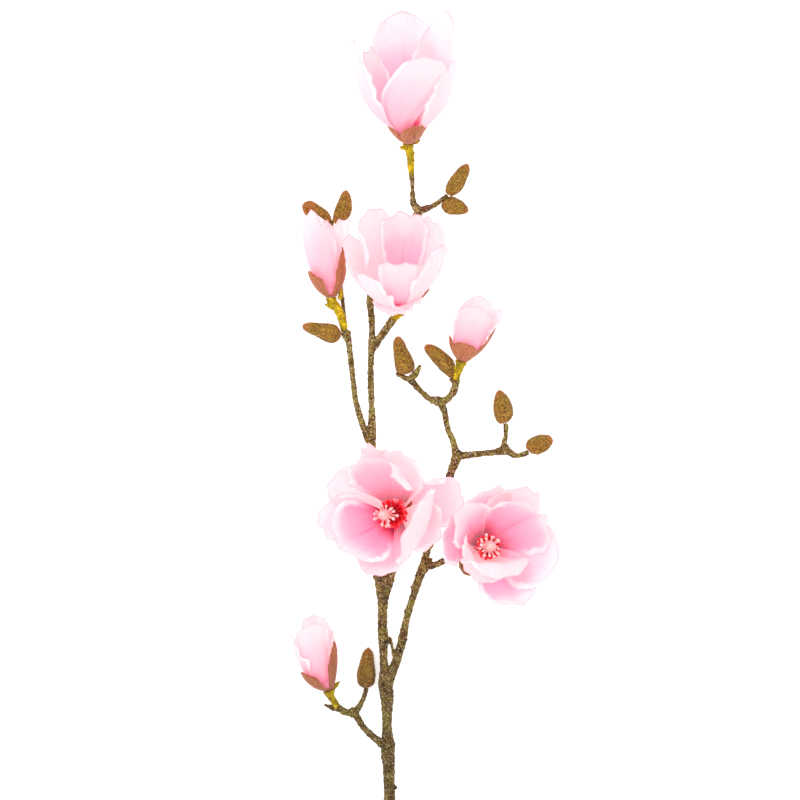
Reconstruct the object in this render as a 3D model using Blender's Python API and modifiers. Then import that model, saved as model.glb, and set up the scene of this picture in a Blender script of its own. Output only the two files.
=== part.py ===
"""A cut magnolia branch with seven blooms and ten furry buds, lying on a flat surface.

Metres, +Z up. The origin is on the surface under the middle of the branch. +Y runs from the cut end to the top
bloom, and the wide open blooms face up.
"""
import math

import bmesh
import bpy
import numpy as np
from mathutils import Matrix, Vector

# Driving dimensions, in millimetres
MM = 0.001
SHEET_MIDDLE = 400.0  # places are across and down a square sheet 800 mm wide that the branch lies on
BRANCH_MIDDLE = (423.2, 438.0)  # the middle of the branch on that sheet
EYE_HEIGHT = 3000.0  # places look right from this far above the sheet's middle
EYE_LEVEL = 45.0  # the height at which a place is not drawn in by perspective
PETAL_THICKNESS = 0.8
BRACT_THICKNESS = 1.2
GAP = 0.3  # between pieces that sit on each other
BRACT_CLEARANCE = 0.5
STEM_SIDES = 8
TWIG_SIDES = 6
STALK_SIDES = 8
LIMB_STEP = 22.0  # longest stretch of a limb between two rings of points

# Heights along a bloom's axis, from the point where its petals start
STALK_TOP = -5.5
DISC_BOTTOM = STALK_TOP + GAP
DISC_TOP = -2.9
DISC_RADIUS = 6.6
HEART_BOTTOM = DISC_TOP + GAP
HEART_TOP = 6.0
BOSS_BOTTOM = HEART_TOP + GAP
BOSS_TOP = 17.5
BOSS_RADIUS = 6.4
PISTIL_BOTTOM = BOSS_TOP + GAP
PISTIL_TOP = 36.0
PISTIL_RADIUS = 4.5
STAMENS = 20
STAMEN_RISE = 7.5
STYLES = 12
STYLE_REACH = 8.5
STYLE_RISE = 5.0

# Where the rows and columns of points of a petal lie: close together at the rolled edges and the tip
PETAL_COLUMNS = (-1.0, -0.66, 0.0, 0.66, 1.0)
PETAL_ROWS = (0.0, 0.24, 0.51, 0.78, 1.0)
CURLED_ROWS = (0.0, 0.28, 0.52, 0.7, 0.85, 1.0)
BRACT_COLUMNS = (-1.0, -0.4, 0.4, 1.0)
BRACT_ROWS = (0.0, 0.35, 0.7, 1.0)

COLOURS = {
    "bark": ((0.145, 0.115, 0.055), 0.8),
    "stalk": ((0.43, 0.38, 0.05), 0.55),
    "bract": ((0.50, 0.21, 0.11), 0.7),
    "petal": ((0.93, 0.62, 0.73), 0.75),
    "stamen": ((0.70, 0.02, 0.03), 0.5),
    "pistil": ((0.88, 0.55, 0.50), 0.55),
    "bud": ((0.33, 0.20, 0.045), 0.95),
}

# Limbs of the branch: sides, then points of across, down, height and radius, in millimetres
LIMBS = {
    "main stem": (STEM_SIDES, (
        (390, 858, 5.8, 5.7), (389.6, 800, 6.6, 5.6), (389.2, 785, 7.3, 5.6), (388.8, 767.5, 8.2, 6),
        (387.9, 755, 9.5, 6.7), (388, 744, 10.5, 6.9), (387.2, 733, 11.3, 5), (387, 715, 12.5, 5),
        (387.2, 702, 13.3, 6.2), (386.4, 692, 14, 7), (385.3, 683, 14.6, 7.2), (384.2, 671, 15.4, 4.5),
        (383.6, 660, 16, 3.9), (383.3, 648, 16.8, 4.2), (383.1, 637, 17.5, 5.4), (382.5, 626, 18.3, 4.7),
        (382.5, 614, 19.2, 4.9), (382.9, 601, 20, 5.6), (383.2, 592.5, 20.5, 6.9), (383.8, 582.5, 21, 9),
        (382, 562, 21.5, 5.6), (379, 520, 22.5, 4.6), (374, 470, 23.5, 4.2), (371.9, 445, 24, 4),
        (371.6, 434, 24.3, 4.6), (372, 416.7, 25, 3.4), (371.5, 400, 25.6, 3), (370.8, 384, 26.3, 3.3),
        (370.8, 366, 27.5, 2.9), (371.2, 350, 28, 3.2), (372, 334, 28.7, 3.1), (371.8, 322, 29.2, 3),
        (370.6, 308, 30.2, 3.3), (370, 300, 30.7, 3.4), (375, 280, 32, 3.5), (390, 250, 34.5, 3.5),
        (408, 226, 37.5, 3.9), (418.5, 212.5, 39.3, 4.4), (413.8, 204.5, 40.2, 3.3), (412.6, 196, 41, 2.6),
        (412.4, 184, 42, 2.2), (411.5, 174.5, 42.6, 2.9),
    )),
    "right arm": (STEM_SIDES, (
        (386, 694, 13.5, 5.2), (389, 681, 14.3, 5.2), (392.3, 671, 15, 4.8), (396.8, 660, 15.6, 4.4),
        (400.4, 647.5, 16.3, 4.3), (402.5, 639, 16.8, 4.6), (405.8, 622.5, 17.4, 3.5), (409, 610, 17.8, 3.5),
        (413, 597.5, 18.3, 3.5), (416.5, 586, 18.8, 3.9), (420.3, 574.6, 19.2, 4.4), (424, 566.5, 19.8, 5),
        (425.6, 557, 20, 3.6), (427.6, 549, 20, 3.4), (431, 543.5, 20, 3.1), (436, 530, 20, 3.4),
        (443, 505, 20, 3.8), (450.7, 473, 20.5, 3.9), (453.8, 465.5, 20.8, 4.2), (457.5, 455.5, 21, 5.6),
    )),
    "open left bloom's shoot": (STEM_SIDES, (
        (385.5, 583, 20, 6.5), (391.5, 571, 20.8, 5), (395.5, 559, 21.7, 4.3), (396.5, 541, 23, 4.2),
        (396.5, 524, 26.5, 4.2),
    )),
    "open right bloom's shoot": (TWIG_SIDES, (
        (424.5, 566, 20, 4.2), (432, 565.5, 20.5, 3.3), (438, 563.8, 21.5, 3.1), (445.8, 560.2, 23, 3.5),
        (457, 557.5, 26, 3.4), (471, 555, 29, 3.6),
    )),
    "spur beside the open right bloom's shoot": (TWIG_SIDES, (
        (428.5, 565, 20, 1.8), (430.8, 560.5, 20, 1.5), (432, 557.8, 20, 1),
    )),
    "upper left bloom's shoot": (TWIG_SIDES, (
        (371, 444, 24, 3.6), (366.5, 436, 24.5, 3.3), (360.5, 418, 25, 3.1), (355.4, 400, 26, 2.8),
        (353.4, 383, 26.5, 2.6), (351, 362, 27, 3), (348.8, 343, 28.3, 2.9), (345.8, 334.5, 28.9, 4.6),
        (344.5, 330.5, 29, 3.6),
    )),
    "shoot under the upper left bloom": (TWIG_SIDES, (
        (350, 352, 26.6, 1.7), (346, 334, 19, 2), (343, 305, 5, 1.9), (338, 268, 1.9, 1.9), (333, 242, 3.5, 1.9),
        (331, 228, 9, 2.4), (331, 222, 14, 3.2),
    )),
    "middle bloom's shoot": (TWIG_SIDES, (
        (371.5, 351, 28, 3.3), (377, 342, 29, 3.7), (385.5, 330, 30, 3.8), (393.3, 319, 32, 4),
    )),
    "top right shoot": (TWIG_SIDES, (
        (418.5, 211.5, 39.4, 3.6), (426, 208.8, 39.5, 3.3), (433, 206, 39.5, 2.7), (440, 201, 39.5, 2.3),
        (447.3, 195, 39.5, 2.1),
    )),
    "right arm's left shoot": (TWIG_SIDES, (
        (457, 458, 21, 4.2), (453, 441, 22, 3.1), (449.4, 433, 22.5, 2.9), (446.8, 425, 23, 2.9),
        (444.7, 413, 23.5, 3.1), (441.5, 404.5, 24, 4.2), (437.5, 401, 24, 5), (430, 399, 24, 3),
        (423.2, 393.5, 24, 2.7), (416.8, 387, 24, 2.9), (411.3, 380.5, 24, 3.6), (407.8, 376.5, 24, 3.4),
    )),
    "stub beside the middle bud": (TWIG_SIDES, (
        (411, 381, 23.5, 2.5), (403, 376.8, 20, 2.3), (396.6, 372.6, 18, 2.4),
    )),
    "upper right bloom's shoot": (TWIG_SIDES, (
        (438, 402, 24, 3.8), (446.7, 399.5, 25, 3.4), (453, 392.5, 26.2, 3.5), (455.8, 384, 27.8, 3.6),
        (456.3, 379.8, 28.7, 3.6),
    )),
    "right shoot": (TWIG_SIDES, (
        (457, 456, 21, 4), (470, 454.8, 19, 3.3), (487, 453, 16, 3), (497, 451.8, 14.2, 3.6), (504.5, 450, 13, 5),
        (509, 452, 12.4, 3.6), (515.7, 455.5, 11.4, 2.6), (523, 454.5, 9.6, 2.6), (528.5, 452, 8.4, 2.6),
    )),
    "right upright shoot": (TWIG_SIDES, (
        (503.5, 449, 13, 3.4), (504.5, 441, 13.5, 2.5), (506, 433, 14, 2.2), (505.8, 423.5, 14.6, 2.6),
    )),
    "lower left shoot": (TWIG_SIDES, (
        (387, 747, 10.5, 4.8), (378.5, 741, 11, 3.8), (370.6, 734.4, 11.5, 3.3), (362.8, 726.5, 12, 3.3),
        (357.5, 717.5, 12.5, 3.6), (353.5, 713.2, 13, 4.4), (348, 712.5, 13.4, 3.6), (342.5, 710.8, 14, 3.4),
        (338.2, 707, 15, 3.5),
    )),
    "lower bud's shoot": (TWIG_SIDES, (
        (353.5, 713, 12.5, 3.4), (358.5, 707.5, 12, 3.2), (362.8, 700, 11.6, 2.4), (365.6, 692, 11.2, 2.3),
        (366.1, 687.5, 11, 2.4),
    )),
    "snag in the fork": (TWIG_SIDES, (
        (396.5, 660, 15.8, 2), (394, 655, 16, 1.8), (392.2, 648, 16.6, 1.4), (390.8, 641, 17.2, 1.5),
        (389.6, 637.5, 17.6, 1.2),
    )),
    "wedge beside the snag": (TWIG_SIDES, (
        (386, 647, 17.2, 1.2), (387.3, 642, 17.4, 1.9), (386.8, 634, 17.8, 1.6),
    )),
}

# Knots on the bark: across, down, height and radius
KNOTS = (
    (395.4, 787.5, 7.8, 2.2), (381.5, 742, 12, 3.6), (390.5, 700, 17, 3.6), (405.6, 611, 18, 2.2),
    (412.3, 587, 18.8, 2), (376, 577, 23, 3.4), (392, 580, 24, 3.2), (373.8, 418, 26.5, 2.2), (369, 372, 27.5, 2.2),
    (418, 211, 41.5, 3), (459.5, 453, 22, 3.2), (352.5, 709, 14, 2.2), (507, 446, 14.5, 2.4), (386.5, 639, 19, 2.6),
    (402.3, 640, 16.8, 5), (452.1, 380, 25.2, 2.8),
)

# Small leaf buds that grow from the bark: root, then tip, and the greatest radius
LEAF_BUDS = (
    ((411.5, 380, 25), (421.3, 364, 32), 3.4),
    ((341, 710.3, 11.3), (323.2, 704.6, 7), 2.9),
    ((348.6, 340, 28.5), (351.4, 329.3, 29), 0.9),
)

# Furry buds: points of across, down, height and radius, from the base to the tip
BUDS = {
    "bud_top_upper": ((448.7, 194.4, 39.4, 3.4), (451.5, 190, 39.7, 6.4), (456, 184, 40, 7.6),
                      (461, 175.5, 41, 6.4), (465, 169, 42, 4.8), (466.6, 166.2, 42.3, 2.8)),
    "bud_top_lower": ((442.5, 203.4, 36.2, 3.6), (445.5, 204, 35.5, 7), (450, 205.2, 34.5, 8.3),
                      (456.5, 206.8, 33.5, 7.8), (461.5, 208.6, 33, 6.2), (464.8, 209.8, 33, 4)),
    "bud_left_arched": ((329.6, 220.6, 14.5, 2.2), (324.8, 214.9, 18, 4.1), (317.5, 209.6, 20, 4.2),
                        (311, 205.6, 20, 4.5), (306.4, 206.2, 19, 4), (306.6, 211.5, 17.5, 2.8),
                        (308.8, 215.8, 17, 1.1)),
    "bud_left_upright": ((334.7, 222.2, 15.1, 2.8), (339.5, 217, 17, 6.6), (343, 211, 18.5, 7.8),
                         (344.9, 203, 20, 6.6), (345.5, 196, 21, 4.9), (345.7, 193.4, 21.3, 3.4)),
    "bud_left_side": ((340.3, 334.6, 29, 3.2), (335.5, 334.2, 29, 8.2), (328.5, 332.8, 29, 9),
                      (317.5, 329.6, 28, 6.6), (308.5, 327.4, 27, 4.8), (305.2, 326.6, 26.8, 3.2)),
    "bud_middle": ((406.8, 373.4, 24, 3.6), (406, 370.4, 24.2, 8.2), (404, 362.5, 25, 9.2), (400.5, 351, 26, 7),
                   (398.6, 342.5, 27, 5.2), (398.3, 339.4, 27.3, 3.4)),
    "bud_right_low": ((451.9, 376.9, 25.7, 2.6), (450.5, 371.3, 27.2, 6), (445.5, 363.8, 28, 8),
                      (437, 355.3, 29, 6.9), (430.5, 349.8, 30, 5.3), (427.6, 347.6, 30.3, 3.6)),
    "bud_right_upright": ((505, 422.3, 14.7, 4.2), (504, 418.8, 15, 7.8), (503.4, 411.5, 15.5, 9.3),
                          (501.8, 402, 16.5, 7.8), (500.3, 396, 17, 5.6), (499.8, 393.8, 17.2, 4)),
    "bud_right_end": ((529.2, 450.5, 8.9, 4.4), (532.5, 447.5, 8.9, 8), (537.5, 445, 8.9, 8.8),
                      (543.5, 442.5, 8.8, 8.3), (547.5, 440.6, 8.8, 6)),
    "bud_lower": ((366, 687.1, 10.9, 3.4), (366, 683.5, 10.8, 7.4), (366.3, 674.5, 10.5, 9), (367.2, 662, 10, 6.8),
                  (368, 653, 10, 4.8), (368.2, 650, 10, 2.6)),
}

# Blooms. The base is across, down and height; a tip is to the right, up and towards the eye of it. An azimuth is
# the side of the axis that a petal grows on: 0 faces the eye in a bloom seen from the side, and the right edge of
# the sheet in one that faces up. Its sides are half its width; bow, cup, roll and curl are turns in degrees.
# A bract's tip is spread from the axis and high along it. A heart is the solid middle that the petals grow from.
EYE_SIDE = (0.0, 0.0, 1.0)
RIGHT_SIDE = (1.0, 0.0, 0.0)

BLOOMS = {
    "top_bloom": {
        "base": (408, 138, 44), "axis": (-0.05, 0.9, 0.42), "front": EYE_SIDE, "open": True,
        "shoot": "main stem", "stalk": ((410.9, 166, 42.6, 3.5), (410.5, 156, 41.5, 4.0)),
        "heart": 8.0, "reach": 11.2,
        "petals": (
            dict(tip=(-6, 125, 14), side=182, half=45, bow=24, cup=45, shoulder=0.3, phase=0.1, rise=2),
            dict(tip=(41, 122, 26), side=140, half=27, bow=26, cup=45, roll=(0, 80), curl=40, top=0.6,
                 phase=0.3),
            dict(tip=(27, 73, 60), side=-5, half=28, bow=37, cup=55, sway=0.62, top=0.95, shoulder=0.12,
                 phase=0.5, rise=2),
            dict(tip=(-40, 85, 36), side=240, half=24, bow=28, cup=45, phase=0.7, rise=2),
            dict(tip=(-54, 92, 42), side=-75, half=30, bow=38, cup=50, phase=0.9, rise=4),
            dict(tip=(42, 72, 44), side=62, half=26, bow=38, cup=50, phase=0.2, rise=4),
            dict(tip=(-8, 96, -42), side=190, half=36, bow=33, cup=40, phase=0.4),
        ),
        "bracts": (
            dict(side=18, spread=27, high=21, half=15, bow=30, cup=60),
            dict(side=-72, spread=22, high=21, half=9, bow=20, cup=50),
            dict(side=95, spread=24, high=24, half=8, bow=24, cup=50),
            dict(side=180, spread=21, high=-1.5, half=11, bow=10, cup=40),
        ),
    },
    "upper_left_bloom": {
        "base": (330.5, 292, 31), "axis": (-0.08, 1, 0.06), "front": EYE_SIDE, "open": False,
        "shoot": "upper left bloom's shoot", "stalk": ((342.5, 321, 29.4, 4.1), (337, 308, 30, 4.2)),
        "heart": 5.6,
        "petals": (
            dict(tip=(-20, 82, 4), side=-25, half=25, bow=28, cup=80, widest=0.56, top=0.4, phase=0.1, rise=2),
            dict(tip=(12, 72, 0), side=135, half=18, bow=14, cup=30, widest=0.95, top=1, curl=30,
                 shoulder=0.1, lean=0.08, phase=0.4),
            dict(tip=(-8, 72, -6), side=215, half=24, bow=26, cup=80, phase=0.7),
        ),
        "bracts": (
            dict(side=-65, spread=22, high=23.5, half=13, bow=26, cup=70, top=0.65),
            dict(side=52, spread=20.5, high=44, half=8.5, bow=20, cup=55, top=0.65, sway=-0.3),
            dict(side=180, spread=17.5, high=21, half=12, bow=30, cup=70),
        ),
    },
    "middle_bloom": {
        "base": (401, 304, 42), "axis": (-0.06, 0.8, 0.6), "front": EYE_SIDE, "open": True,
        "shoot": "middle bloom's shoot", "stalk": ((397.8, 315, 34.1, 3.8),),
        "heart": 7.5, "reach": 11.5,
        "petals": (
            dict(tip=(4, 90, 30), side=180, half=26, bow=25, cup=45, roll=(10, 10), top=1, widest=0.8,
                 shoulder=0.08, phase=0.1, rise=2),
            dict(tip=(-32, 92, 34), side=215, half=29, bow=28, cup=45, roll=(-95, 20), top=0.9, phase=0.3),
            dict(tip=(-56, 64, 36), side=245, half=26, bow=26, cup=40, roll=(20, 20), phase=0.5),
            dict(tip=(32, 82, 32), side=145, half=27, bow=26, cup=40, roll=(10, 10), phase=0.7),
            dict(tip=(38, 56, 48), side=50, half=28, bow=34, cup=40, roll=(10, 10), phase=0.9),
            dict(tip=(3, 38, 56), side=-3, half=27, bow=38, cup=50, roll=(20, 20), widest=0.85, top=1,
                 shoulder=0.06, phase=0.2, rise=2),
            dict(tip=(-40, 29, 46), side=-52, half=29, bow=38, cup=45, roll=(20, 20), top=0.95, shoulder=0.1,
                 phase=0.4),
            dict(tip=(-13, -11, 22), side=-20, half=22, bow=10, cup=10, curl=80, curl_from=0.3, phase=0.6),
            dict(tip=(14, -2, 22), side=40, half=20, bow=14, cup=20, curl=60, curl_from=0.3, phase=0.8),
        ),
        "bracts": (
            dict(side=100, spread=30, high=14, half=8, bow=16, cup=50),
            dict(side=230, spread=21, high=8, half=10, bow=24, cup=50),
            dict(side=165, spread=18, high=9, half=10, bow=24, cup=50),
        ),
    },
    "upper_right_bloom": {
        "base": (463, 356, 40), "axis": (0.32, 1, 0.15), "front": EYE_SIDE, "open": False,
        "shoot": "upper right bloom's shoot", "stalk": ((457, 375, 32, 3.3), (459.8, 367, 36, 4.2)),
        "heart": 5.6,
        "petals": (
            dict(tip=(15, 48, 14), side=5, half=24, bow=32, cup=70, top=0.85, shoulder=0.1, phase=0.1, rise=2),
            dict(tip=(20, 59, 0), side=185, half=26, bow=22, cup=70, phase=0.4),
            dict(tip=(38, 46, 2), side=120, half=16, bow=20, cup=60, phase=0.6),
            dict(tip=(-5, 38, -6), side=-100, half=18, bow=30, cup=70, phase=0.8),
        ),
        "bracts": (
            dict(side=0, spread=17, high=15, half=16, bow=30, cup=75),
            dict(side=-80, spread=19.5, high=16, half=8, bow=24, cup=60),
            dict(side=95, spread=22.5, high=38.5, half=9, bow=22, cup=60),
            dict(side=176, spread=22.5, high=18, half=12, bow=24, cup=70),
        ),
    },
    "open_left_bloom": {
        "base": (398, 513, 42), "axis": (-0.35, 0.0, 1), "front": RIGHT_SIDE, "open": True,
        "shoot": "open left bloom's shoot", "stalk": ((402, 514.2, 29.4, 4.0),),
        "heart": 8.5, "reach": 14.5,
        "petals": (
            dict(tip=(-24, 56, 60), half=38, bow=32, cup=45, roll=(20, -130), phase=0.1, skew=-0.1, wave=1.6,
                 rise=2),
            dict(tip=(-60, -29, 52), half=38, bow=30, cup=42, roll=(35, 35), curl=35, fold=2, phase=0.4,
                 wave=1.6, rise=2),
            dict(tip=(8, -12, 56), half=45, bow=82, cup=28, sway=0.03, phase=0.7, top=0.9, wave=2.4, rise=2),
            dict(tip=(-66, 36, 34), half=33, bow=24, cup=40, roll=(25, 25), phase=0.2),
            dict(tip=(-79, -8, 38), half=27, bow=28, cup=40, roll=(20, 20), phase=0.5),
            dict(tip=(-32, 68, 42), half=16, bow=30, cup=40, roll=(20, 20), phase=0.8),
            dict(tip=(-2, 63, 47), half=29, bow=30, cup=40, roll=(30, 30), phase=0.3),
            dict(tip=(64, 24, 28), half=32, bow=34, cup=45, roll=(-150, 0), phase=0.6),
            dict(tip=(42, -19, 38), half=28, bow=34, cup=40, roll=(30, 30), phase=0.9),
            dict(tip=(-24, -60, 40), half=30, bow=30, cup=40, roll=(20, 20), phase=0.15),
        ),
        "bracts": (
            dict(side=70, spread=21, high=-1.5, half=11, bow=10, cup=30),
            dict(side=180, spread=21, high=-1.5, half=11, bow=10, cup=30),
            dict(side=280, spread=21, high=-1.5, half=11, bow=10, cup=30),
        ),
    },
    "open_right_bloom": {
        "base": (481.5, 546, 42), "axis": (0.42, 0.0, 1), "front": RIGHT_SIDE, "open": True,
        "shoot": "open right bloom's shoot", "stalk": ((476.5, 547.5, 29.5, 3.6),),
        "heart": 8.5, "reach": 11.0,
        "petals": (
            dict(tip=(60, 32, 54), half=38, bow=30, cup=45, roll=(10, 10), fold=2.5, phase=0.3, wave=1.6,
                 rise=2),
            dict(tip=(-24, 40, 50), half=27, bow=42, cup=35, roll=(40, 0), curl=90, curl_from=0.55,
                 phase=0.6, wave=1.6, rise=2),
            dict(tip=(23, -30, 42), side=-92, half=38, bow=58, cup=16, roll=(10, 10), curl=150,
                 curl_from=0.55, phase=0.1, wave=1.6, skew=0.2, rise=2),
            dict(tip=(-14, -26, 40), half=29, bow=46, cup=30, roll=(10, 10), curl=120, curl_from=0.5,
                 phase=0.8, wave=1.6),
            dict(tip=(-38, 17, 54), half=31, bow=36, cup=40, roll=(10, 10), phase=0.5),
            dict(tip=(12, 60, 40), half=30, bow=28, cup=40, roll=(20, 20), phase=0.2),
            dict(tip=(50, 57, 36), half=28, bow=28, cup=40, roll=(20, 20), phase=0.7),
            dict(tip=(75, -7, 40), half=41, bow=28, cup=40, roll=(20, 20), phase=0.4),
            dict(tip=(43, -54, 36), half=32, bow=30, cup=40, roll=(20, 20), phase=0.9),
        ),
        "bracts": (
            dict(side=232, spread=34, high=2, half=14, bow=24, cup=40),
            dict(side=110, spread=20, high=-2, half=11, bow=10, cup=30),
            dict(side=350, spread=20, high=-2, half=11, bow=10, cup=30),
        ),
    },
    "lower_left_bloom": {
        "base": (327.5, 685.5, 21), "axis": (-0.26, 1, 0.0), "front": EYE_SIDE, "open": False,
        "shoot": "lower left shoot", "stalk": ((333.2, 700.5, 18, 3.4),),
        "heart": 5.6,
        "petals": (
            dict(tip=(-18, 62, 12), side=-5, half=23, bow=30, cup=75, sway=0.2, claw=0.35, widest=0.5,
                 top=0.95, shoulder=0.1, phase=0.3, rise=2),
            dict(tip=(-16, 70, -10), side=185, half=23, bow=26, cup=70, phase=0.1),
            dict(tip=(-38, 51, -2), side=-100, half=22, bow=23, cup=60, phase=0.6),
            dict(tip=(4, 55, -4), side=105, half=15, bow=17, cup=70, phase=0.9),
        ),
        "bracts": (
            dict(side=-65, spread=24, high=21, half=13, bow=30, cup=70, top=0.65),
            dict(side=52, spread=23, high=42, half=8, bow=18, cup=55, top=0.65, sway=0.25),
            dict(side=180, spread=14, high=15, half=11, bow=24, cup=60),
        ),
    },
}


def clear_scene():
    for obj in list(bpy.data.objects):
        bpy.data.objects.remove(obj, do_unlink=True)


def make_collection(name):
    collection = bpy.data.collections.new(name)
    bpy.context.scene.collection.children.link(collection)
    return collection


def make_material(name):
    colour, roughness = COLOURS[name]
    material = bpy.data.materials.new(name)
    material.use_nodes = True
    shader = material.node_tree.nodes["Principled BSDF"]
    shader.inputs["Base Color"].default_value = (*colour, 1.0)
    shader.inputs["Roughness"].default_value = roughness
    shader.inputs["Metallic"].default_value = 0.0
    return material


def on_sheet(across, down, height):
    """The point in metres that looks, from the eye, to be at this place on the sheet."""
    spread = 1 + (EYE_LEVEL - height) / EYE_HEIGHT
    x = (across - SHEET_MIDDLE) * spread + SHEET_MIDDLE - BRANCH_MIDDLE[0]
    y = (SHEET_MIDDLE - down) * spread + BRANCH_MIDDLE[1] - SHEET_MIDDLE
    return Vector((x, y, height)) * MM


def between(first, second, third, fourth, share):
    """A point between the second and the third of four, on the smooth curve through them all."""
    return 0.5 * (
        2 * second
        + (third - first) * share
        + (2 * first - 5 * second + 4 * third - fourth) * share**2
        + (3 * second - first - 3 * third + fourth) * share**3
    )


def smooth_path(stations):
    """Rows of x, y, z and radius in metres along a smooth curve through stations of the same kind."""
    rows = [np.array(station, float) for station in stations]
    rows = [2 * rows[0] - rows[1], *rows, 2 * rows[-1] - rows[-2]]
    path = []
    for index in range(1, len(rows) - 2):
        stretch = np.linalg.norm(rows[index + 1][:3] - rows[index][:3])
        parts = max(1, math.ceil(stretch / (LIMB_STEP * MM)))
        path += [between(*rows[index - 1 : index + 3], part / parts) for part in range(parts)]
    path.append(rows[-2])
    return path


def stations_of(points):
    """Stations in metres from points of across, down, height and radius."""
    return [(*on_sheet(*point[:3]), point[3] * MM) for point in points]


def mesh_object(name, mesh, collection):
    obj = bpy.data.objects.new(name, mesh)
    collection.objects.link(obj)
    return obj


def frozen(obj):
    """A plain mesh object with the shape and place that this object shows, which it takes the place of."""
    bpy.context.view_layer.update()
    graph = bpy.context.evaluated_depsgraph_get()
    mesh = bpy.data.meshes.new_from_object(obj.evaluated_get(graph))
    mesh.transform(obj.matrix_world)
    shape = bmesh.new()
    shape.from_mesh(mesh)
    bmesh.ops.remove_doubles(shape, verts=shape.verts, dist=1e-6)
    bmesh.ops.recalc_face_normals(shape, faces=shape.faces)
    shape.to_mesh(mesh)
    shape.free()
    name, collection = obj.name, obj.users_collection[0]
    bpy.data.objects.remove(obj, do_unlink=True)
    mesh.name = name
    return mesh_object(name, mesh, collection)


def tube(name, path, sides, collection):
    """A round tapering tube with closed ends along rows of x, y, z and radius."""
    curve = bpy.data.curves.new(name, "CURVE")
    curve.dimensions = "3D"
    curve.bevel_depth = 1.0
    curve.bevel_resolution = (sides - 4) // 2
    curve.use_fill_caps = True
    spline = curve.splines.new("POLY")
    spline.points.add(len(path) - 1)
    for point, (x, y, z, radius) in zip(spline.points, path):
        point.co = (x, y, z, 1.0)
        point.radius = radius
    obj = bpy.data.objects.new(name, curve)
    collection.objects.link(obj)
    return frozen(obj)


def joined(name, pieces, collection, material, solver="EXACT"):
    """All these pieces as one solid."""
    helpers = bpy.data.collections.new(name + " parts")
    bpy.context.scene.collection.children.link(helpers)
    body, rest = pieces[0], pieces[1:]
    for piece in rest:
        for home in piece.users_collection:
            home.objects.unlink(piece)
        helpers.objects.link(piece)
    union = body.modifiers.new("Join", "BOOLEAN")
    union.operation = "UNION"
    union.solver = solver
    union.operand_type = "COLLECTION"
    union.collection = helpers
    body = frozen(body)
    for piece in rest:
        bpy.data.objects.remove(piece, do_unlink=True)
    bpy.data.collections.remove(helpers)
    return finished(body, name, collection, material)


def finished(obj, name, collection, material):
    """The piece under its own name, in the branch's collection, with its material."""
    for home in obj.users_collection:
        home.objects.unlink(obj)
    collection.objects.link(obj)
    obj.name = name
    obj.data.name = name
    obj.data.materials.clear()
    obj.data.materials.append(material)
    obj.data.shade_smooth()
    obj.data.set_sharp_from_angle(angle=math.radians(50))
    return obj


def ball(name, centre, radius, collection):
    shape = bmesh.new()
    bmesh.ops.create_icosphere(shape, subdivisions=1, radius=radius * MM, matrix=Matrix.Translation(centre))
    mesh = bpy.data.meshes.new(name)
    shape.to_mesh(mesh)
    shape.free()
    return mesh_object(name, mesh, collection)


def cone(name, start, end, radii, sides, collection):
    """A straight cone or cylinder between two points in metres, with a radius in millimetres at each end."""
    way = end - start
    turn = way.to_track_quat("Z", "Y").to_matrix().to_4x4()
    shape = bmesh.new()
    bmesh.ops.create_cone(
        shape,
        cap_ends=True,
        segments=sides,
        radius1=radii[0] * MM,
        radius2=radii[1] * MM,
        depth=way.length,
        matrix=Matrix.Translation((start + end) / 2) @ turn,
    )
    mesh = bpy.data.meshes.new(name)
    shape.to_mesh(mesh)
    shape.free()
    return mesh_object(name, mesh, collection)


def leaf_bud(name, root, tip, radius, collection):
    """A small pointed bud from its root to its tip."""
    start, end = Vector(root), Vector(tip)
    path = [(*start.lerp(end, share), radius * size * MM) for share, size in ((0, 0.6), (0.4, 1), (0.8, 0.55), (1, 0.1))]
    return tube(name, path, TWIG_SIDES, collection)


def make_branch(collection, material):
    pieces = [tube(name, smooth_path(stations_of(points)), sides, collection) for name, (sides, points) in LIMBS.items()]
    for number, (across, down, height, radius) in enumerate(KNOTS):
        pieces.append(ball(f"knot {number}", on_sheet(across, down, height), radius, collection))
    for number, (root, tip, radius) in enumerate(LEAF_BUDS):
        pieces.append(leaf_bud(f"leaf bud {number}", on_sheet(*root), on_sheet(*tip), radius, collection))
    return joined("branch", pieces, collection, material)


def make_bud(name, points, collection, material):
    return finished(tube(name, stations_of(points), STALK_SIDES, collection), name, collection, material)


def bloom_axes(bloom):
    """The base in metres, and the axis, front and side directions of a bloom."""
    axis = Vector(bloom["axis"]).normalized()
    front = Vector(bloom["front"])
    front = (front - front.dot(axis) * axis).normalized()
    return on_sheet(*bloom["base"]), axis, front, axis.cross(front)


def ramp(low, high, values):
    share = np.clip((values - low) / (high - low), 0, 1)
    return share * share * (3 - 2 * share)


def midrib(length, bow, curl, curl_from):
    """Samples along the middle of a petal: share, distance along its chord, distance outwards, and its lean."""
    share = np.linspace(0, 1, 81)
    lean = np.radians(bow * (1 - 2 * share) + curl * ramp(curl_from, 1, share))
    step = 1 / 80
    along = np.concatenate([[0], np.cumsum((np.cos(lean[1:]) + np.cos(lean[:-1])) / 2)]) * step
    out = np.concatenate([[0], np.cumsum((np.sin(lean[1:]) + np.sin(lean[:-1])) / 2)]) * step
    turn = math.atan2(out[-1], along[-1])
    size = length / math.hypot(out[-1], along[-1])
    return (
        share,
        (along * math.cos(turn) + out * math.sin(turn)) * size,
        (out * math.cos(turn) - along * math.sin(turn)) * size,
        lean - turn,
    )


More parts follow.
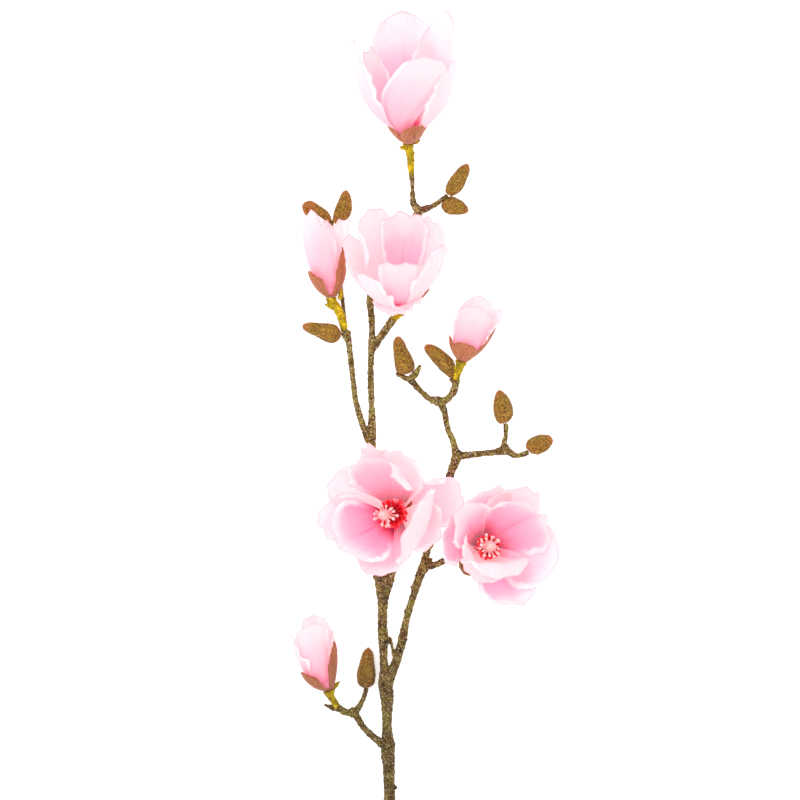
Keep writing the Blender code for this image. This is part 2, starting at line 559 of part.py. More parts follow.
def cross_section(width, half, cup, roll, rolling, share):
    """How far a row of the petal reaches sideways and inwards at this share of its half width."""
    fine = np.linspace(0, 1, 49)
    turn = np.radians(cup * fine * width - roll * rolling * ramp(0.5, 1, fine))
    step = half * width / 48
    aside = np.concatenate([[0], np.cumsum((np.cos(turn[1:]) + np.cos(turn[:-1])) / 2)]) * step
    inward = np.concatenate([[0], np.cumsum((np.sin(turn[1:]) + np.sin(turn[:-1])) / 2)]) * step
    return np.interp(share, fine, aside), np.interp(share, fine, inward)


def petal_points(bloom, petal, columns, rows, foot):
    """Rows of points of a petal's middle surface, in metres."""
    base, axis, front, side = (np.array(v) for v in bloom_axes(bloom))
    tip = np.array(petal["tip"], float)
    if "side" in petal:
        angle = math.radians(petal["side"])
        outward = front * math.cos(angle) + side * math.sin(angle)
    else:
        outward = tip - tip @ axis * axis
        outward /= np.linalg.norm(outward)
    start = outward * foot[0] + axis * (foot[1] + petal.get("rise", 0))
    chord = tip - start
    length = np.linalg.norm(chord)
    chord /= length
    inward = axis * (chord @ outward) - outward * (chord @ axis)
    inward -= inward @ chord * chord
    inward /= np.linalg.norm(inward)
    across = np.cross(chord, inward)
    share, along, out, lean = midrib(length, petal["bow"], petal.get("curl", 0), petal.get("curl_from", 0.66))
    half, widest, top = petal["half"], petal.get("widest", 0.62), petal.get("top", 0.8)
    claw = petal.get("claw", 0.14)
    shoulder, phase, wave = petal.get("shoulder", 0.2), petal.get("phase", 0), petal.get("wave", 1.2)
    frill, turn = petal.get("frill", 0.014), 2 * math.pi
    grid = []
    for v in rows:
        grow = claw + (1 - claw) * math.sin(math.pi / 2 * min(v / widest, 1)) ** 1.15
        width = grow * (1 - (1 - top) * (max(v - widest, 0) / (1 - widest)) ** 2)
        width *= 1 + 1.2 * frill * ramp(0.3, 0.7, v) * math.sin(turn * (2.2 * v + phase))
        row = []
        for u in columns:
            reach = 1 - shoulder * abs(u) ** 2.4 * v + petal.get("lean", 0) * u * v + frill * v * v * (
                math.sin(turn * (1.4 * u + phase + 0.1)) + 0.4 * math.sin(turn * (3.1 * u + 2 * phase))
            )
            t = v * reach
            roll = petal.get("roll", (0, 0))[0 if u < 0 else 1]
            aside, lift = cross_section(width, half, petal["cup"], roll, ramp(0.25, 0.8, v), abs(u))
            aside = math.copysign(aside, u) + petal.get("skew", 0) * half * t * t
            aside += petal.get("sway", 0) * half * math.sin(math.pi * t**0.7)
            ripple = abs(u) ** 2.5 * math.sin(turn * (2 * v + phase + 0.3 * np.sign(u))) * ramp(0.2, 0.6, v)
            lift += wave * (ripple + v**5 * math.sin(turn * (1.3 * u + 1.7 * phase)))
            lift -= petal.get("fold", 0) * math.exp(-((u / 0.1) ** 2)) * ramp(0.15, 0.5, v)
            beyond = max(t - 1, 0) * length
            tilt = np.interp(t, share, lean)
            forward = np.interp(t, share, along) + beyond * math.cos(tilt) + lift * math.sin(tilt)
            raised = lift * math.cos(tilt) - np.interp(t, share, out) - beyond * math.sin(tilt)
            point = (start + aside * across + forward * chord + raised * inward) * MM + base
            point[2] = max(point[2], PETAL_THICKNESS / 2 * MM)
            row.append(point)
        grid.append(row)
    return grid


def sheet_solid(name, grid, thickness, collection):
    """A thin solid about a grid of points, split into the same triangles on both faces."""
    shape = bmesh.new()
    verts = [[shape.verts.new(point) for point in row] for row in grid]
    for lower, upper in zip(verts, verts[1:]):
        for a, b, c, d in zip(lower, lower[1:], upper[1:], upper):
            shape.faces.new((a, b, c))
            shape.faces.new((a, c, d))
    mesh = bpy.data.meshes.new(name)
    shape.to_mesh(mesh)
    shape.free()
    obj = mesh_object(name, mesh, collection)
    solid = obj.modifiers.new("Thickness", "SOLIDIFY")
    solid.thickness = thickness * MM
    solid.offset = 0.0
    return frozen(obj)


def pushed(edge, inner, margin):
    """The edge point moved further from its inner neighbour."""
    way = edge - inner
    return edge + way / np.linalg.norm(way) * margin * MM


def petal_sheets(bloom, collection, margin=0):
    """The petals one by one, or shapes that reach beyond them by this margin on every side but the foot."""
    sheets = []
    for number, petal in enumerate(bloom["petals"]):
        rows = CURLED_ROWS if petal.get("curl", 0) > 60 else PETAL_ROWS
        grid = petal_points(bloom, petal, PETAL_COLUMNS, rows, (3.5, 0))
        if margin:
            for row in grid:
                row[0], row[-1] = pushed(row[0], row[1], margin), pushed(row[-1], row[-2], margin)
            grid[-1] = [pushed(edge, inner, margin) for edge, inner in zip(grid[-1], grid[-2])]
        sheets.append(sheet_solid(f"petal {number}", grid, PETAL_THICKNESS + 2 * margin, collection))
    return sheets


def make_heart(bloom, margin, collection):
    base, axis, _, _ = bloom_axes(bloom)
    bottom = base + axis * (HEART_BOTTOM - margin) * MM
    radius = bloom["heart"] + margin
    return cone("heart", bottom, base + axis * HEART_TOP * MM, (radius * 0.7, radius), STALK_SIDES, collection)


def make_petals(name, bloom, collection, material):
    pieces = [make_heart(bloom, 0, collection), *petal_sheets(bloom, collection)]
    petals = joined(name + "_petals", pieces, collection, material, "MANIFOLD")
    keep_largest(petals.data)
    return petals


def bract_shape(bloom, bract):
    """A bract with its tip told as a petal's is."""
    _, axis, front, side = bloom_axes(bloom)
    angle = math.radians(bract["side"])
    tip = (front * math.cos(angle) + side * math.sin(angle)) * bract["spread"] + axis * bract["high"]
    return dict(bract, tip=tip, claw=0.5, wave=0.3)


def make_bracts(name, bloom, collection, material):
    """The scales under a bloom, cut clear of its petals where they hug them."""
    base, axis, _, _ = bloom_axes(bloom)
    disc = cone(
        "disc",
        base + axis * DISC_BOTTOM * MM,
        base + axis * DISC_TOP * MM,
        (DISC_RADIUS * 0.8, DISC_RADIUS),
        STALK_SIDES,
        collection,
    )
    foot = (DISC_RADIUS * 0.75, (DISC_BOTTOM + DISC_TOP) / 2)
    scales = [
        sheet_solid(
            f"scale {n}",
            petal_points(bloom, bract_shape(bloom, bract), BRACT_COLUMNS, BRACT_ROWS, foot),
            BRACT_THICKNESS,
            collection,
        )
        for n, bract in enumerate(bloom["bracts"])
    ]
    bracts = joined(name + "_bracts", [disc, *scales], collection, material)
    cutters = make_collection(name + " cutters")
    sheets = petal_sheets(bloom, cutters, BRACT_CLEARANCE)
    sheets.append(make_heart(bloom, GAP - 0.01, cutters))
    cut = bracts.modifiers.new("Clearance", "BOOLEAN")
    cut.operation = "DIFFERENCE"
    cut.solver = "MANIFOLD"
    cut.operand_type = "COLLECTION"
    cut.collection = cutters
    bracts = frozen(bracts)
    for sheet in sheets:
        bpy.data.objects.remove(sheet, do_unlink=True)
    bpy.data.collections.remove(cutters)
    keep_largest(bracts.data)
    return finished(bracts, name + "_bracts", collection, material)


def keep_largest(mesh):
    """Removes what a cut has left loose."""
    shape = bmesh.new()
    shape.from_mesh(mesh)
    islands = []
    left = set(shape.verts)
    while left:
        island = set()
        edge = [left.pop()]
        while edge:
            vert = edge.pop()
            island.add(vert)
            for link in vert.link_edges:
                other = link.other_vert(vert)
                if other in left:
                    left.discard(other)
                    edge.append(other)
        islands.append(island)
    islands.sort(key=len, reverse=True)
    for island in islands[1:]:
        bmesh.ops.delete(shape, geom=list(island), context="VERTS")
    shape.to_mesh(mesh)
    shape.free()


def make_stalk(name, bloom, collection, material):
    """The bare green stretch between the bark and a bloom."""
    base, axis, _, _ = bloom_axes(bloom)
    shoot = stations_of(LIMBS[bloom["shoot"]][1])
    before, end = Vector(shoot[-2][:3]), Vector(shoot[-1][:3])
    along = (end - before).normalized()
    thick = [shoot[-1][3], *(radius * MM for _, _, _, radius in bloom["stalk"])]
    path = [(*(end + along * GAP * MM), thick[0] * 0.94), (*(end + along * 2.5 * MM), thick[1] * 0.96)]
    path += stations_of(bloom["stalk"])
    path += [(*(base + axis * height * MM), width * MM) for height, width in ((-9.5, 4.3), (-7.5, 5.2), (-5.5, 5.8))]
    obj = tube(name, path, STALK_SIDES, collection)
    return finished(obj, name + "_stalk", collection, material)


def around(axis, front, side, turn, radius, height, base):
    """A point at this angle and radius about a bloom's axis."""
    return base + (axis * height + (front * math.cos(turn) + side * math.sin(turn)) * radius) * MM


def spray(name, bloom, body, count, reach, rise, widths, collection, material):
    """A cone on the bloom's axis with rows of thin points that stand out of it."""
    base, axis, front, side = bloom_axes(bloom)
    bottom, top, radii = body
    pieces = [cone("body", base + axis * bottom * MM, base + axis * top * MM, radii, STALK_SIDES, collection)]
    golden = math.pi * (3 - math.sqrt(5))
    for number in range(count):
        share = (number + 0.5) / count
        turn = number * golden
        root_height = bottom + (top - bottom) * (0.12 + 0.68 * share)
        root_radius = radii[0] + (radii[1] - radii[0]) * (root_height - bottom) / (top - bottom)
        root = around(axis, front, side, turn, root_radius * 0.6, root_height, base)
        tip = around(axis, front, side, turn, reach, root_height + rise, base)
        pieces.append(cone(f"point {number}", root, tip, widths, 3, collection))
    return joined(name, pieces, collection, material)


def main():
    clear_scene()
    collection = make_collection("magnolia branch")
    materials = {name: make_material(name) for name in COLOURS}
    make_branch(collection, materials["bark"])
    for name, points in BUDS.items():
        make_bud(name, points, collection, materials["bud"])
    for name, bloom in BLOOMS.items():
        make_stalk(name, bloom, collection, materials["stalk"])
        make_bracts(name, bloom, collection, materials["bract"])
        make_petals(name, bloom, collection, materials["petal"])
        if not bloom["open"]:
            continue
        boss = (BOSS_BOTTOM, BOSS_TOP, (BOSS_RADIUS * 0.75, BOSS_RADIUS))
        reach = bloom["reach"]
        spray(name + "_stamens", bloom, boss, STAMENS, reach, STAMEN_RISE, (1.4, 0.8), collection, materials["stamen"])
        column = (PISTIL_BOTTOM, PISTIL_TOP, (PISTIL_RADIUS, PISTIL_RADIUS * 0.45))
        rise = STYLE_RISE
        spray(name + "_pistil", bloom, column, STYLES, STYLE_REACH, rise, (1.3, 0.8), collection, materials["pistil"])


main()
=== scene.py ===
import math

import bpy
import numpy as np
from mathutils import Matrix, Vector


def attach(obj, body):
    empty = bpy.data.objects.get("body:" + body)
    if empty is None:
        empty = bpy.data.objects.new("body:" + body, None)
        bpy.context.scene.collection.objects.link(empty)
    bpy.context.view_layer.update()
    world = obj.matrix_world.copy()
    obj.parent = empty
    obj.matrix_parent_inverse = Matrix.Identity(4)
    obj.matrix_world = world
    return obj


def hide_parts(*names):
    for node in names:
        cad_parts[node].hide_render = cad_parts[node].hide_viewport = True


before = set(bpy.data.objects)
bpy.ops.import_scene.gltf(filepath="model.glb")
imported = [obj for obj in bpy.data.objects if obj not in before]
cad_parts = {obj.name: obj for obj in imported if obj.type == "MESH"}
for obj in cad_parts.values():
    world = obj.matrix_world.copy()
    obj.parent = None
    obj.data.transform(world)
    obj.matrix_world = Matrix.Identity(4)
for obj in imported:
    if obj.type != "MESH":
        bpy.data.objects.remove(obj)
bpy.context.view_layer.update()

# A magnolia branch that lies on a pale floor, seen from above. Places are across and down a sheet
# 800 mm square, with heights above the floor, all in millimetres.
mm = 0.001
golden = math.pi * (3 - math.sqrt(5))
fullTurn = 2 * math.pi
sheet = dict(middle=400.0, branchMiddle=(423.2, 438.0), eyeHeight=3000.0, eyeLevel=45.0)
eyeSide = (0.0, 0.0, 1.0)
rightSide = (1.0, 0.0, 0.0)


def onSheet(across, down, height):
    # the point in metres that looks, from the eye, to be at this place on the sheet
    spread = 1 + (sheet["eyeLevel"] - height) / sheet["eyeHeight"]
    x = (across - sheet["middle"]) * spread + sheet["middle"] - sheet["branchMiddle"][0]
    y = (sheet["middle"] - down) * spread + sheet["branchMiddle"][1] - sheet["middle"]
    return Vector((x, y, height)) * mm


def tint(code):
    # a web colour as the linear colour that the shaders want
    parts = [int(code[place : place + 2], 16) / 255 for place in (1, 3, 5)]
    linear = [part / 12.92 if part <= 0.04045 else ((part + 0.055) / 1.055) ** 2.4 for part in parts]
    return (*linear, 1.0)


# nodes
def join(tree, value, socket):
    if isinstance(value, bpy.types.NodeSocket):
        tree.links.new(value, socket)
    else:
        socket.default_value = value


def addNode(tree, kind, inputs=None, **settings):
    node = tree.nodes.new(kind)
    for name, value in settings.items():
        setattr(node, name, value)
    for name, value in (inputs or {}).items():
        join(tree, value, node.inputs[name])
    return node


def calc(tree, operation, *values):
    return addNode(tree, "ShaderNodeMath", dict(enumerate(values)), operation=operation).outputs[0]


def plus(tree, first, *others):
    for other in others:
        first = calc(tree, "ADD", first, other)
    return first


def minus(tree, first, second):
    return calc(tree, "SUBTRACT", first, second)


def times(tree, first, second):
    return calc(tree, "MULTIPLY", first, second)


def swing(tree, value, size):
    # a value about a half turned into one about nought, this many times as large
    return times(tree, minus(tree, value, 0.5), size)


def added(tree, first, second):
    return addNode(tree, "ShaderNodeVectorMath", {0: first, 1: second}, operation="ADD").outputs["Vector"]


def scaled(tree, vector, scale):
    inputs = {0: vector, "Scale": scale}
    return addNode(tree, "ShaderNodeVectorMath", inputs, operation="SCALE").outputs["Vector"]


def vectorOf(tree, x=0.0, y=0.0, z=0.0):
    return addNode(tree, "ShaderNodeCombineXYZ", {"X": x, "Y": y, "Z": z}).outputs[0]


def partsOf(tree, vector):
    return addNode(tree, "ShaderNodeSeparateXYZ", {"Vector": vector}).outputs


def spanned(tree, value, low, high, toLow=0.0, toHigh=1.0):
    inputs = {"Value": value, "From Min": low, "From Max": high, "To Min": toLow, "To Max": toHigh}
    return addNode(tree, "ShaderNodeMapRange", inputs, interpolation_type="SMOOTHSTEP").outputs[0]


def noiseOf(tree, vector, scale, detail=2.0, roughness=0.5, distortion=0.0):
    inputs = {"Vector": vector, "Scale": scale, "Detail": detail, "Roughness": roughness,
              "Distortion": distortion}
    return addNode(tree, "ShaderNodeTexNoise", inputs).outputs["Fac"]


def newTree(name, kind, sizes, results):
    # each size is given as its usual number, or as the kind of its socket
    tree = bpy.data.node_groups.new(name, kind)
    numbers = {float: "Float", int: "Int"}
    for label, value in sizes.items():
        socketKind = "NodeSocket" + numbers.get(type(value), str(value))
        socket = tree.interface.new_socket(label, in_out="INPUT", socket_type=socketKind)
        if type(value) in numbers:
            socket.default_value = value
    for label, word in results.items():
        tree.interface.new_socket(label, in_out="OUTPUT", socket_type="NodeSocket" + word)
    return tree, tree.nodes.new("NodeGroupInput").outputs, tree.nodes.new("NodeGroupOutput").inputs


# colours and shaders
def rampOf(tree, factor, stops):
    node = addNode(tree, "ShaderNodeValToRGB", {"Fac": factor})
    elements = node.color_ramp.elements
    while len(elements) < len(stops):
        elements.new(0.5)
    for element, (place, code) in zip(elements, stops):
        element.position = place
        element.color = tint(code)
    return node.outputs["Color"]


def blended(tree, factor, first, second, kind="MIX"):
    inputs = {0: factor, 6: first, 7: second}
    return addNode(tree, "ShaderNodeMix", inputs, data_type="RGBA", blend_type=kind).outputs[2]


def painted(tree, colour, mask, code, amount=1.0):
    # a web colour over another, where the mask is and as strongly as this amount
    return blended(tree, mask if amount == 1.0 else times(tree, mask, amount), colour, tint(code))


def newMaterial(name, **fixed):
    material = bpy.data.materials.new(name)
    material.use_nodes = True
    tree = material.node_tree
    shader = tree.nodes["Principled BSDF"]
    for label, value in fixed.items():
        shader.inputs[label.replace("_", " ")].default_value = value
    return material, tree, shader


def attributeOf(tree, name):
    return addNode(tree, "ShaderNodeAttribute", attribute_name=name).outputs["Fac"]


def objectPlace(tree):
    return addNode(tree, "ShaderNodeTexCoord").outputs["Object"]


def bladePlace(tree):
    # X runs from 0 to 1 across a petal or bract, Y from its foot to its tip
    return partsOf(tree, addNode(tree, "ShaderNodeUVMap", uv_map="blade").outputs[0])


def bumped(tree, shader, height, strength, distance):
    node = addNode(tree, "ShaderNodeBump", {"Height": height, "Strength": strength, "Distance": distance})
    tree.links.new(node.outputs["Normal"], shader.inputs["Normal"])


# effects that several materials share
def speckleGroup():
    sizes = {"Vector": "Vector", "Size": 0.002, "Amount": 0.5, "Softness": 0.1}
    tree, given, result = newTree("speckle", "ShaderNodeTree", sizes, {"Mask": "Float"})
    fine = noiseOf(tree, given["Vector"], calc(tree, "DIVIDE", 1.0, given["Size"]), 2.0, 0.6)
    edge = spanned(tree, given["Amount"], 0.0, 1.0, 0.72, 0.34)
    join(tree, spanned(tree, fine, edge, plus(tree, edge, given["Softness"])), result["Mask"])
    return tree


def fibreGroup():
    # fine threads that run along a blade: they fan out with it
    sizes = {"Across": 0.0, "Along": 0.0, "Seed": 0.0, "Threads": 40.0, "Wander": 0.02}
    tree, given, result = newTree("fibres", "ShaderNodeTree", sizes, {"Threads": "Float", "Veins": "Float"})
    along, seed = given["Along"], given["Seed"]
    place = vectorOf(tree, given["Across"], along, seed)
    drift = swing(tree, noiseOf(tree, place, 4.0), given["Wander"])
    across = times(tree, plus(tree, given["Across"], drift), given["Threads"])
    lane = vectorOf(tree, across, times(tree, along, 2.5), seed)
    join(tree, noiseOf(tree, lane, 1.0, 3.0, 0.6), result["Threads"])
    wide = vectorOf(tree, times(tree, across, 0.3), along, seed)
    join(tree, spanned(tree, noiseOf(tree, wide, 1.0, 1.0), 0.35, 0.65), result["Veins"])
    return tree


def agedGroup():
    # painted shade on the cut end's side of the branch, which is darker, and painted light on the tip's side,
    # which is paler
    darkEnd, paleEnd = -0.32, -0.1
    sizes = {"Vector": "Vector", "Colour": "Color", "Lower": 0.8, "Upper": 1.0}
    tree, given, result = newTree("painted shade at the lower end", "ShaderNodeTree", sizes, {"Colour": "Color"})
    along = partsOf(tree, given["Vector"])["Y"]
    share = spanned(tree, along, darkEnd, paleEnd, given["Lower"], given["Upper"])
    grey = vectorOf(tree, share, share, share)
    join(tree, blended(tree, 1.0, given["Colour"], grey, "MULTIPLY"), result["Colour"])
    return tree


speckle, fibres, lowerEndShade = speckleGroup(), fibreGroup(), agedGroup()


def specklesOf(tree, vector, size, softness=0.1, amount=0.42):
    inputs = {"Vector": vector, "Size": size, "Amount": amount, "Softness": softness}
    return addNode(tree, "ShaderNodeGroup", inputs, node_tree=speckle).outputs["Mask"]


def threadsOf(tree, place, count, wander, seedSize):
    seed = times(tree, attributeOf(tree, "seed"), seedSize)
    inputs = {"Across": place["X"], "Along": place["Y"], "Seed": seed, "Threads": count, "Wander": wander}
    return addNode(tree, "ShaderNodeGroup", inputs, node_tree=fibres).outputs


def coloured(tree, shader, here, colour, lower, upper):
    # the colour with painted shade towards the lower end, as the base colour
    inputs = {"Vector": here, "Colour": colour, "Lower": lower, "Upper": upper}
    colour = addNode(tree, "ShaderNodeGroup", inputs, node_tree=lowerEndShade).outputs["Colour"]
    tree.links.new(colour, shader.inputs["Base Color"])


# objects
def makeObject(name, data):
    obj = bpy.data.objects.new(name, data)
    bpy.context.scene.collection.objects.link(obj)
    return obj


def setInputs(obj, tree, values):
    modifier = obj.modifiers.new(tree.name, "NODES")
    modifier.node_group = tree
    for item in tree.interface.items_tree:
        if item.item_type == "SOCKET" and item.in_out == "INPUT" and item.name in values:
            modifier[item.identifier] = values[item.name]


def addAttribute(mesh, name, values):
    mesh.attributes.new(name, "FLOAT", "POINT").data.foreach_set("value", values)


def baked(obj):
    # the object with every modifier made part of a plain mesh
    bpy.context.view_layer.update()
    graph = bpy.context.evaluated_depsgraph_get()
    mesh = bpy.data.meshes.new_from_object(obj.evaluated_get(graph))
    obj.modifiers.clear()
    old = obj.data
    obj.data = mesh
    bpy.data.meshes.remove(old)
    mesh.name = obj.name
    places = np.empty(len(mesh.vertices) * 3)
    mesh.vertices.foreach_get("co", places)
    places[2::3] = np.maximum(places[2::3], 0)  # nothing reaches below the floor
    mesh.vertices.foreach_set("co", places)
    return obj


def plainName(node):
    return node.replace("_", " ").title().replace(" ", "")


def handOver(obj, node):
    # the finished piece takes the place of its solid
    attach(obj, "root")
    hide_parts(node)
    triangles = sum(len(face.vertices) - 2 for face in obj.data.polygons)
    print(f"  {obj.name}: {triangles} triangles")


# petals and bracts
petalFinish = dict(
    # the inner faces deepen to maroon at the throat: their own deep colour, with painted shade deep in the
    # cup
    inner=[(0.0, "#820A2C"), (0.1, "#A01C46"), (0.18, "#CA4873"), (0.26, "#F082A8"), (0.36, "#FBA6C8"),
           (0.5, "#FCB5D1"), (0.66, "#FCBED4"), (0.78, "#FBC9D8"), (0.9, "#FADCE1"), (1.05, "#FAE1E4")],
    outer=[(0.0, "#DC4F90"), (0.12, "#F186B6"), (0.26, "#F9AEC8"), (0.5, "#FACAD6"), (0.78, "#FAD9DF"),
           (1.0, "#FADFE2")],
    toneEnd=1.1,  # where the two ramps above end
    pale="#FAE2E5", rim="#FBEBED", edge="#E9B6C4", creaseShade="#EE6C9A",
    # paintedGlow: the petals glow in their own colour, painted light that lifts their shade; bodyShare turns
    # their base colour down to match
    roughness=0.62, throughLight=0.5, bodyShare=0.94, paintedGlow=0.44,
    threads=46.0, clouds=45.0, rags=110.0, wrinkles=150.0, weave=0.0011,
    # from where to where each one comes in, as shares of half the width, and for the tip of the length
    creaseShadeSpan=(0.0, 0.08), rimSpan=(0.76, 0.9), edgeSpan=(0.955, 0.99), tipSpan=(0.975, 0.995),
    bump=0.34, bumpHeight=0.0005, weaveHeight=0.12, wrinkleHeight=5.0, rimWrinkleHeight=14.0,
)
bractFinish = dict(
    outer=[(0.3, "#70341D"), (0.48, "#A25A37"), (0.62, "#BC7048"), (0.8, "#D39067")],
    inner=[(0.3, "#84341A"), (0.55, "#B45630"), (0.8, "#CF7E50")],
    green=[(0.35, "#5E5420"), (0.6, "#8A7A34"), (0.8, "#A89552")], dots="#6E3A28", dotSize=0.0009,
    roughness=0.76, threads=30.0,
)


def petalRamp(tree, tone, stops):
    return rampOf(tree, tone, [(place / petalFinish["toneEnd"], code) for place, code in stops])


def petalTone(tree, place, here, thread):
    # how far a point is along its petal, with clouds and veins drawn into it
    cloud = swing(tree, noiseOf(tree, here, petalFinish["clouds"]), 0.16)
    tone = plus(tree, place["Y"], attributeOf(tree, "start"), cloud, swing(tree, thread["Veins"], 0.03))
    return calc(tree, "DIVIDE", tone, petalFinish["toneEnd"])


def weaveOf(tree, here, thread):
    # the faint over and under of a woven cloth
    parts = partsOf(tree, here)
    waves = [calc(tree, "SINE", times(tree, parts[axis], fullTurn / thread)) for axis in ("X", "Y")]
    return plus(tree, times(tree, *waves), noiseOf(tree, here, 0.5 / thread, 1.0))


def petalMaterial():
    look = petalFinish
    # the petals' emission is painted light, a glow that lifts their shade
    material, tree, shader = newMaterial("petal cloth", Roughness=look["roughness"], Sheen_Weight=0.12,
                                         Sheen_Roughness=0.45, Emission_Strength=look["paintedGlow"])
    place, here = bladePlace(tree), objectPlace(tree)
    thread = threadsOf(tree, place, look["threads"], 0.05, 37.0)
    tone = petalTone(tree, place, here, thread)
    inner = attributeOf(tree, "inner")
    colour = blended(tree, inner, petalRamp(tree, tone, look["outer"]), petalRamp(tree, tone, look["inner"]))
    # painted shade along the fold down the middle of the inner face, and the pallor of a petal with little
    # blush
    side = calc(tree, "ABSOLUTE", minus(tree, times(tree, place["X"], 2.0), 1.0))
    fold = times(tree, spanned(tree, side, *look["creaseShadeSpan"], 0.5, 0.0), inner)
    fold = times(tree, fold, spanned(tree, place["Y"], 0.25, 0.8, 1.0, 0.0))
    colour = painted(tree, colour, fold, look["creaseShade"])
    colour = painted(tree, colour, minus(tree, 1.0, attributeOf(tree, "blush")), look["pale"])
    # the ragged white rim, and the darker thin edge beyond it, partly the cloth's cut edge and partly painted
    # shade along the petal's outline
    ragged = swing(tree, noiseOf(tree, here, look["rags"]), 0.25)
    rim = spanned(tree, plus(tree, side, ragged), *look["rimSpan"])
    rim = times(tree, rim, spanned(tree, place["Y"], 0.2, 0.55))
    colour = painted(tree, colour, rim, look["rim"])
    edge, tip = spanned(tree, side, *look["edgeSpan"]), spanned(tree, place["Y"], *look["tipSpan"])
    edge = times(tree, calc(tree, "MAXIMUM", edge, tip), spanned(tree, place["Y"], 0.15, 0.4, 0.0, 0.5))
    # painted shade, with the cut edge, darkens the outline
    colour = painted(tree, colour, edge, look["edge"])
    shade = calc(tree, "MULTIPLY_ADD", thread["Threads"], 0.12, 0.94)
    colour = blended(tree, 1.0, colour, vectorOf(tree, 1.0, shade, shade), "MULTIPLY")
    # painted light: the base colour is turned down a little and the full colour glows
    body = blended(tree, 1.0, colour, (*[look["bodyShare"]] * 3, 1.0), "MULTIPLY")
    tree.links.new(body, shader.inputs["Base Color"])
    tree.links.new(colour, shader.inputs["Emission Color"])
    weave = times(tree, weaveOf(tree, here, look["weave"]), look["weaveHeight"])
    size = calc(tree, "MULTIPLY_ADD", rim, look["rimWrinkleHeight"], look["wrinkleHeight"])
    wrinkle = times(tree, noiseOf(tree, here, look["wrinkles"], 3.0, 0.55, 1.4), size)
    bumped(tree, shader, plus(tree, thread["Threads"], weave, wrinkle), look["bump"], look["bumpHeight"])
    glow = addNode(tree, "ShaderNodeBsdfTranslucent", {"Color": body})
    inputs = {0: look["throughLight"], 1: shader.outputs[0], 2: glow.outputs[0]}
    mix = addNode(tree, "ShaderNodeMixShader", inputs)
    tree.links.new(mix.outputs[0], tree.nodes["Material Output"].inputs["Surface"])
    return material


def bractMaterial():
    look = bractFinish
    material, tree, shader = newMaterial("bract suede", Roughness=look["roughness"], Sheen_Weight=0.15,
                                         Sheen_Roughness=0.5)
    place, here = bladePlace(tree), objectPlace(tree)
    threads = threadsOf(tree, place, look["threads"], 0.04, 29.0)["Threads"]
    tone = plus(tree, times(tree, threads, 0.7), times(tree, noiseOf(tree, here, 700.0), 0.4))
    inner = attributeOf(tree, "inner")
    colour = blended(tree, inner, rampOf(tree, tone, look["outer"]), rampOf(tree, tone, look["inner"]))
    green = times(tree, minus(tree, 1.0, attributeOf(tree, "blush")), 0.9)
    colour = blended(tree, green, colour, rampOf(tree, tone, look["green"]))
    dots = specklesOf(tree, here, look["dotSize"], amount=0.4)
    colour = painted(tree, colour, dots, look["dots"], 0.35)
    # painted shade darkens the lower end
    coloured(tree, shader, here, colour, 0.72, 1.0)
    bumped(tree, shader, plus(tree, threads, times(tree, dots, 0.5)), 0.5, 0.0005)
    return material


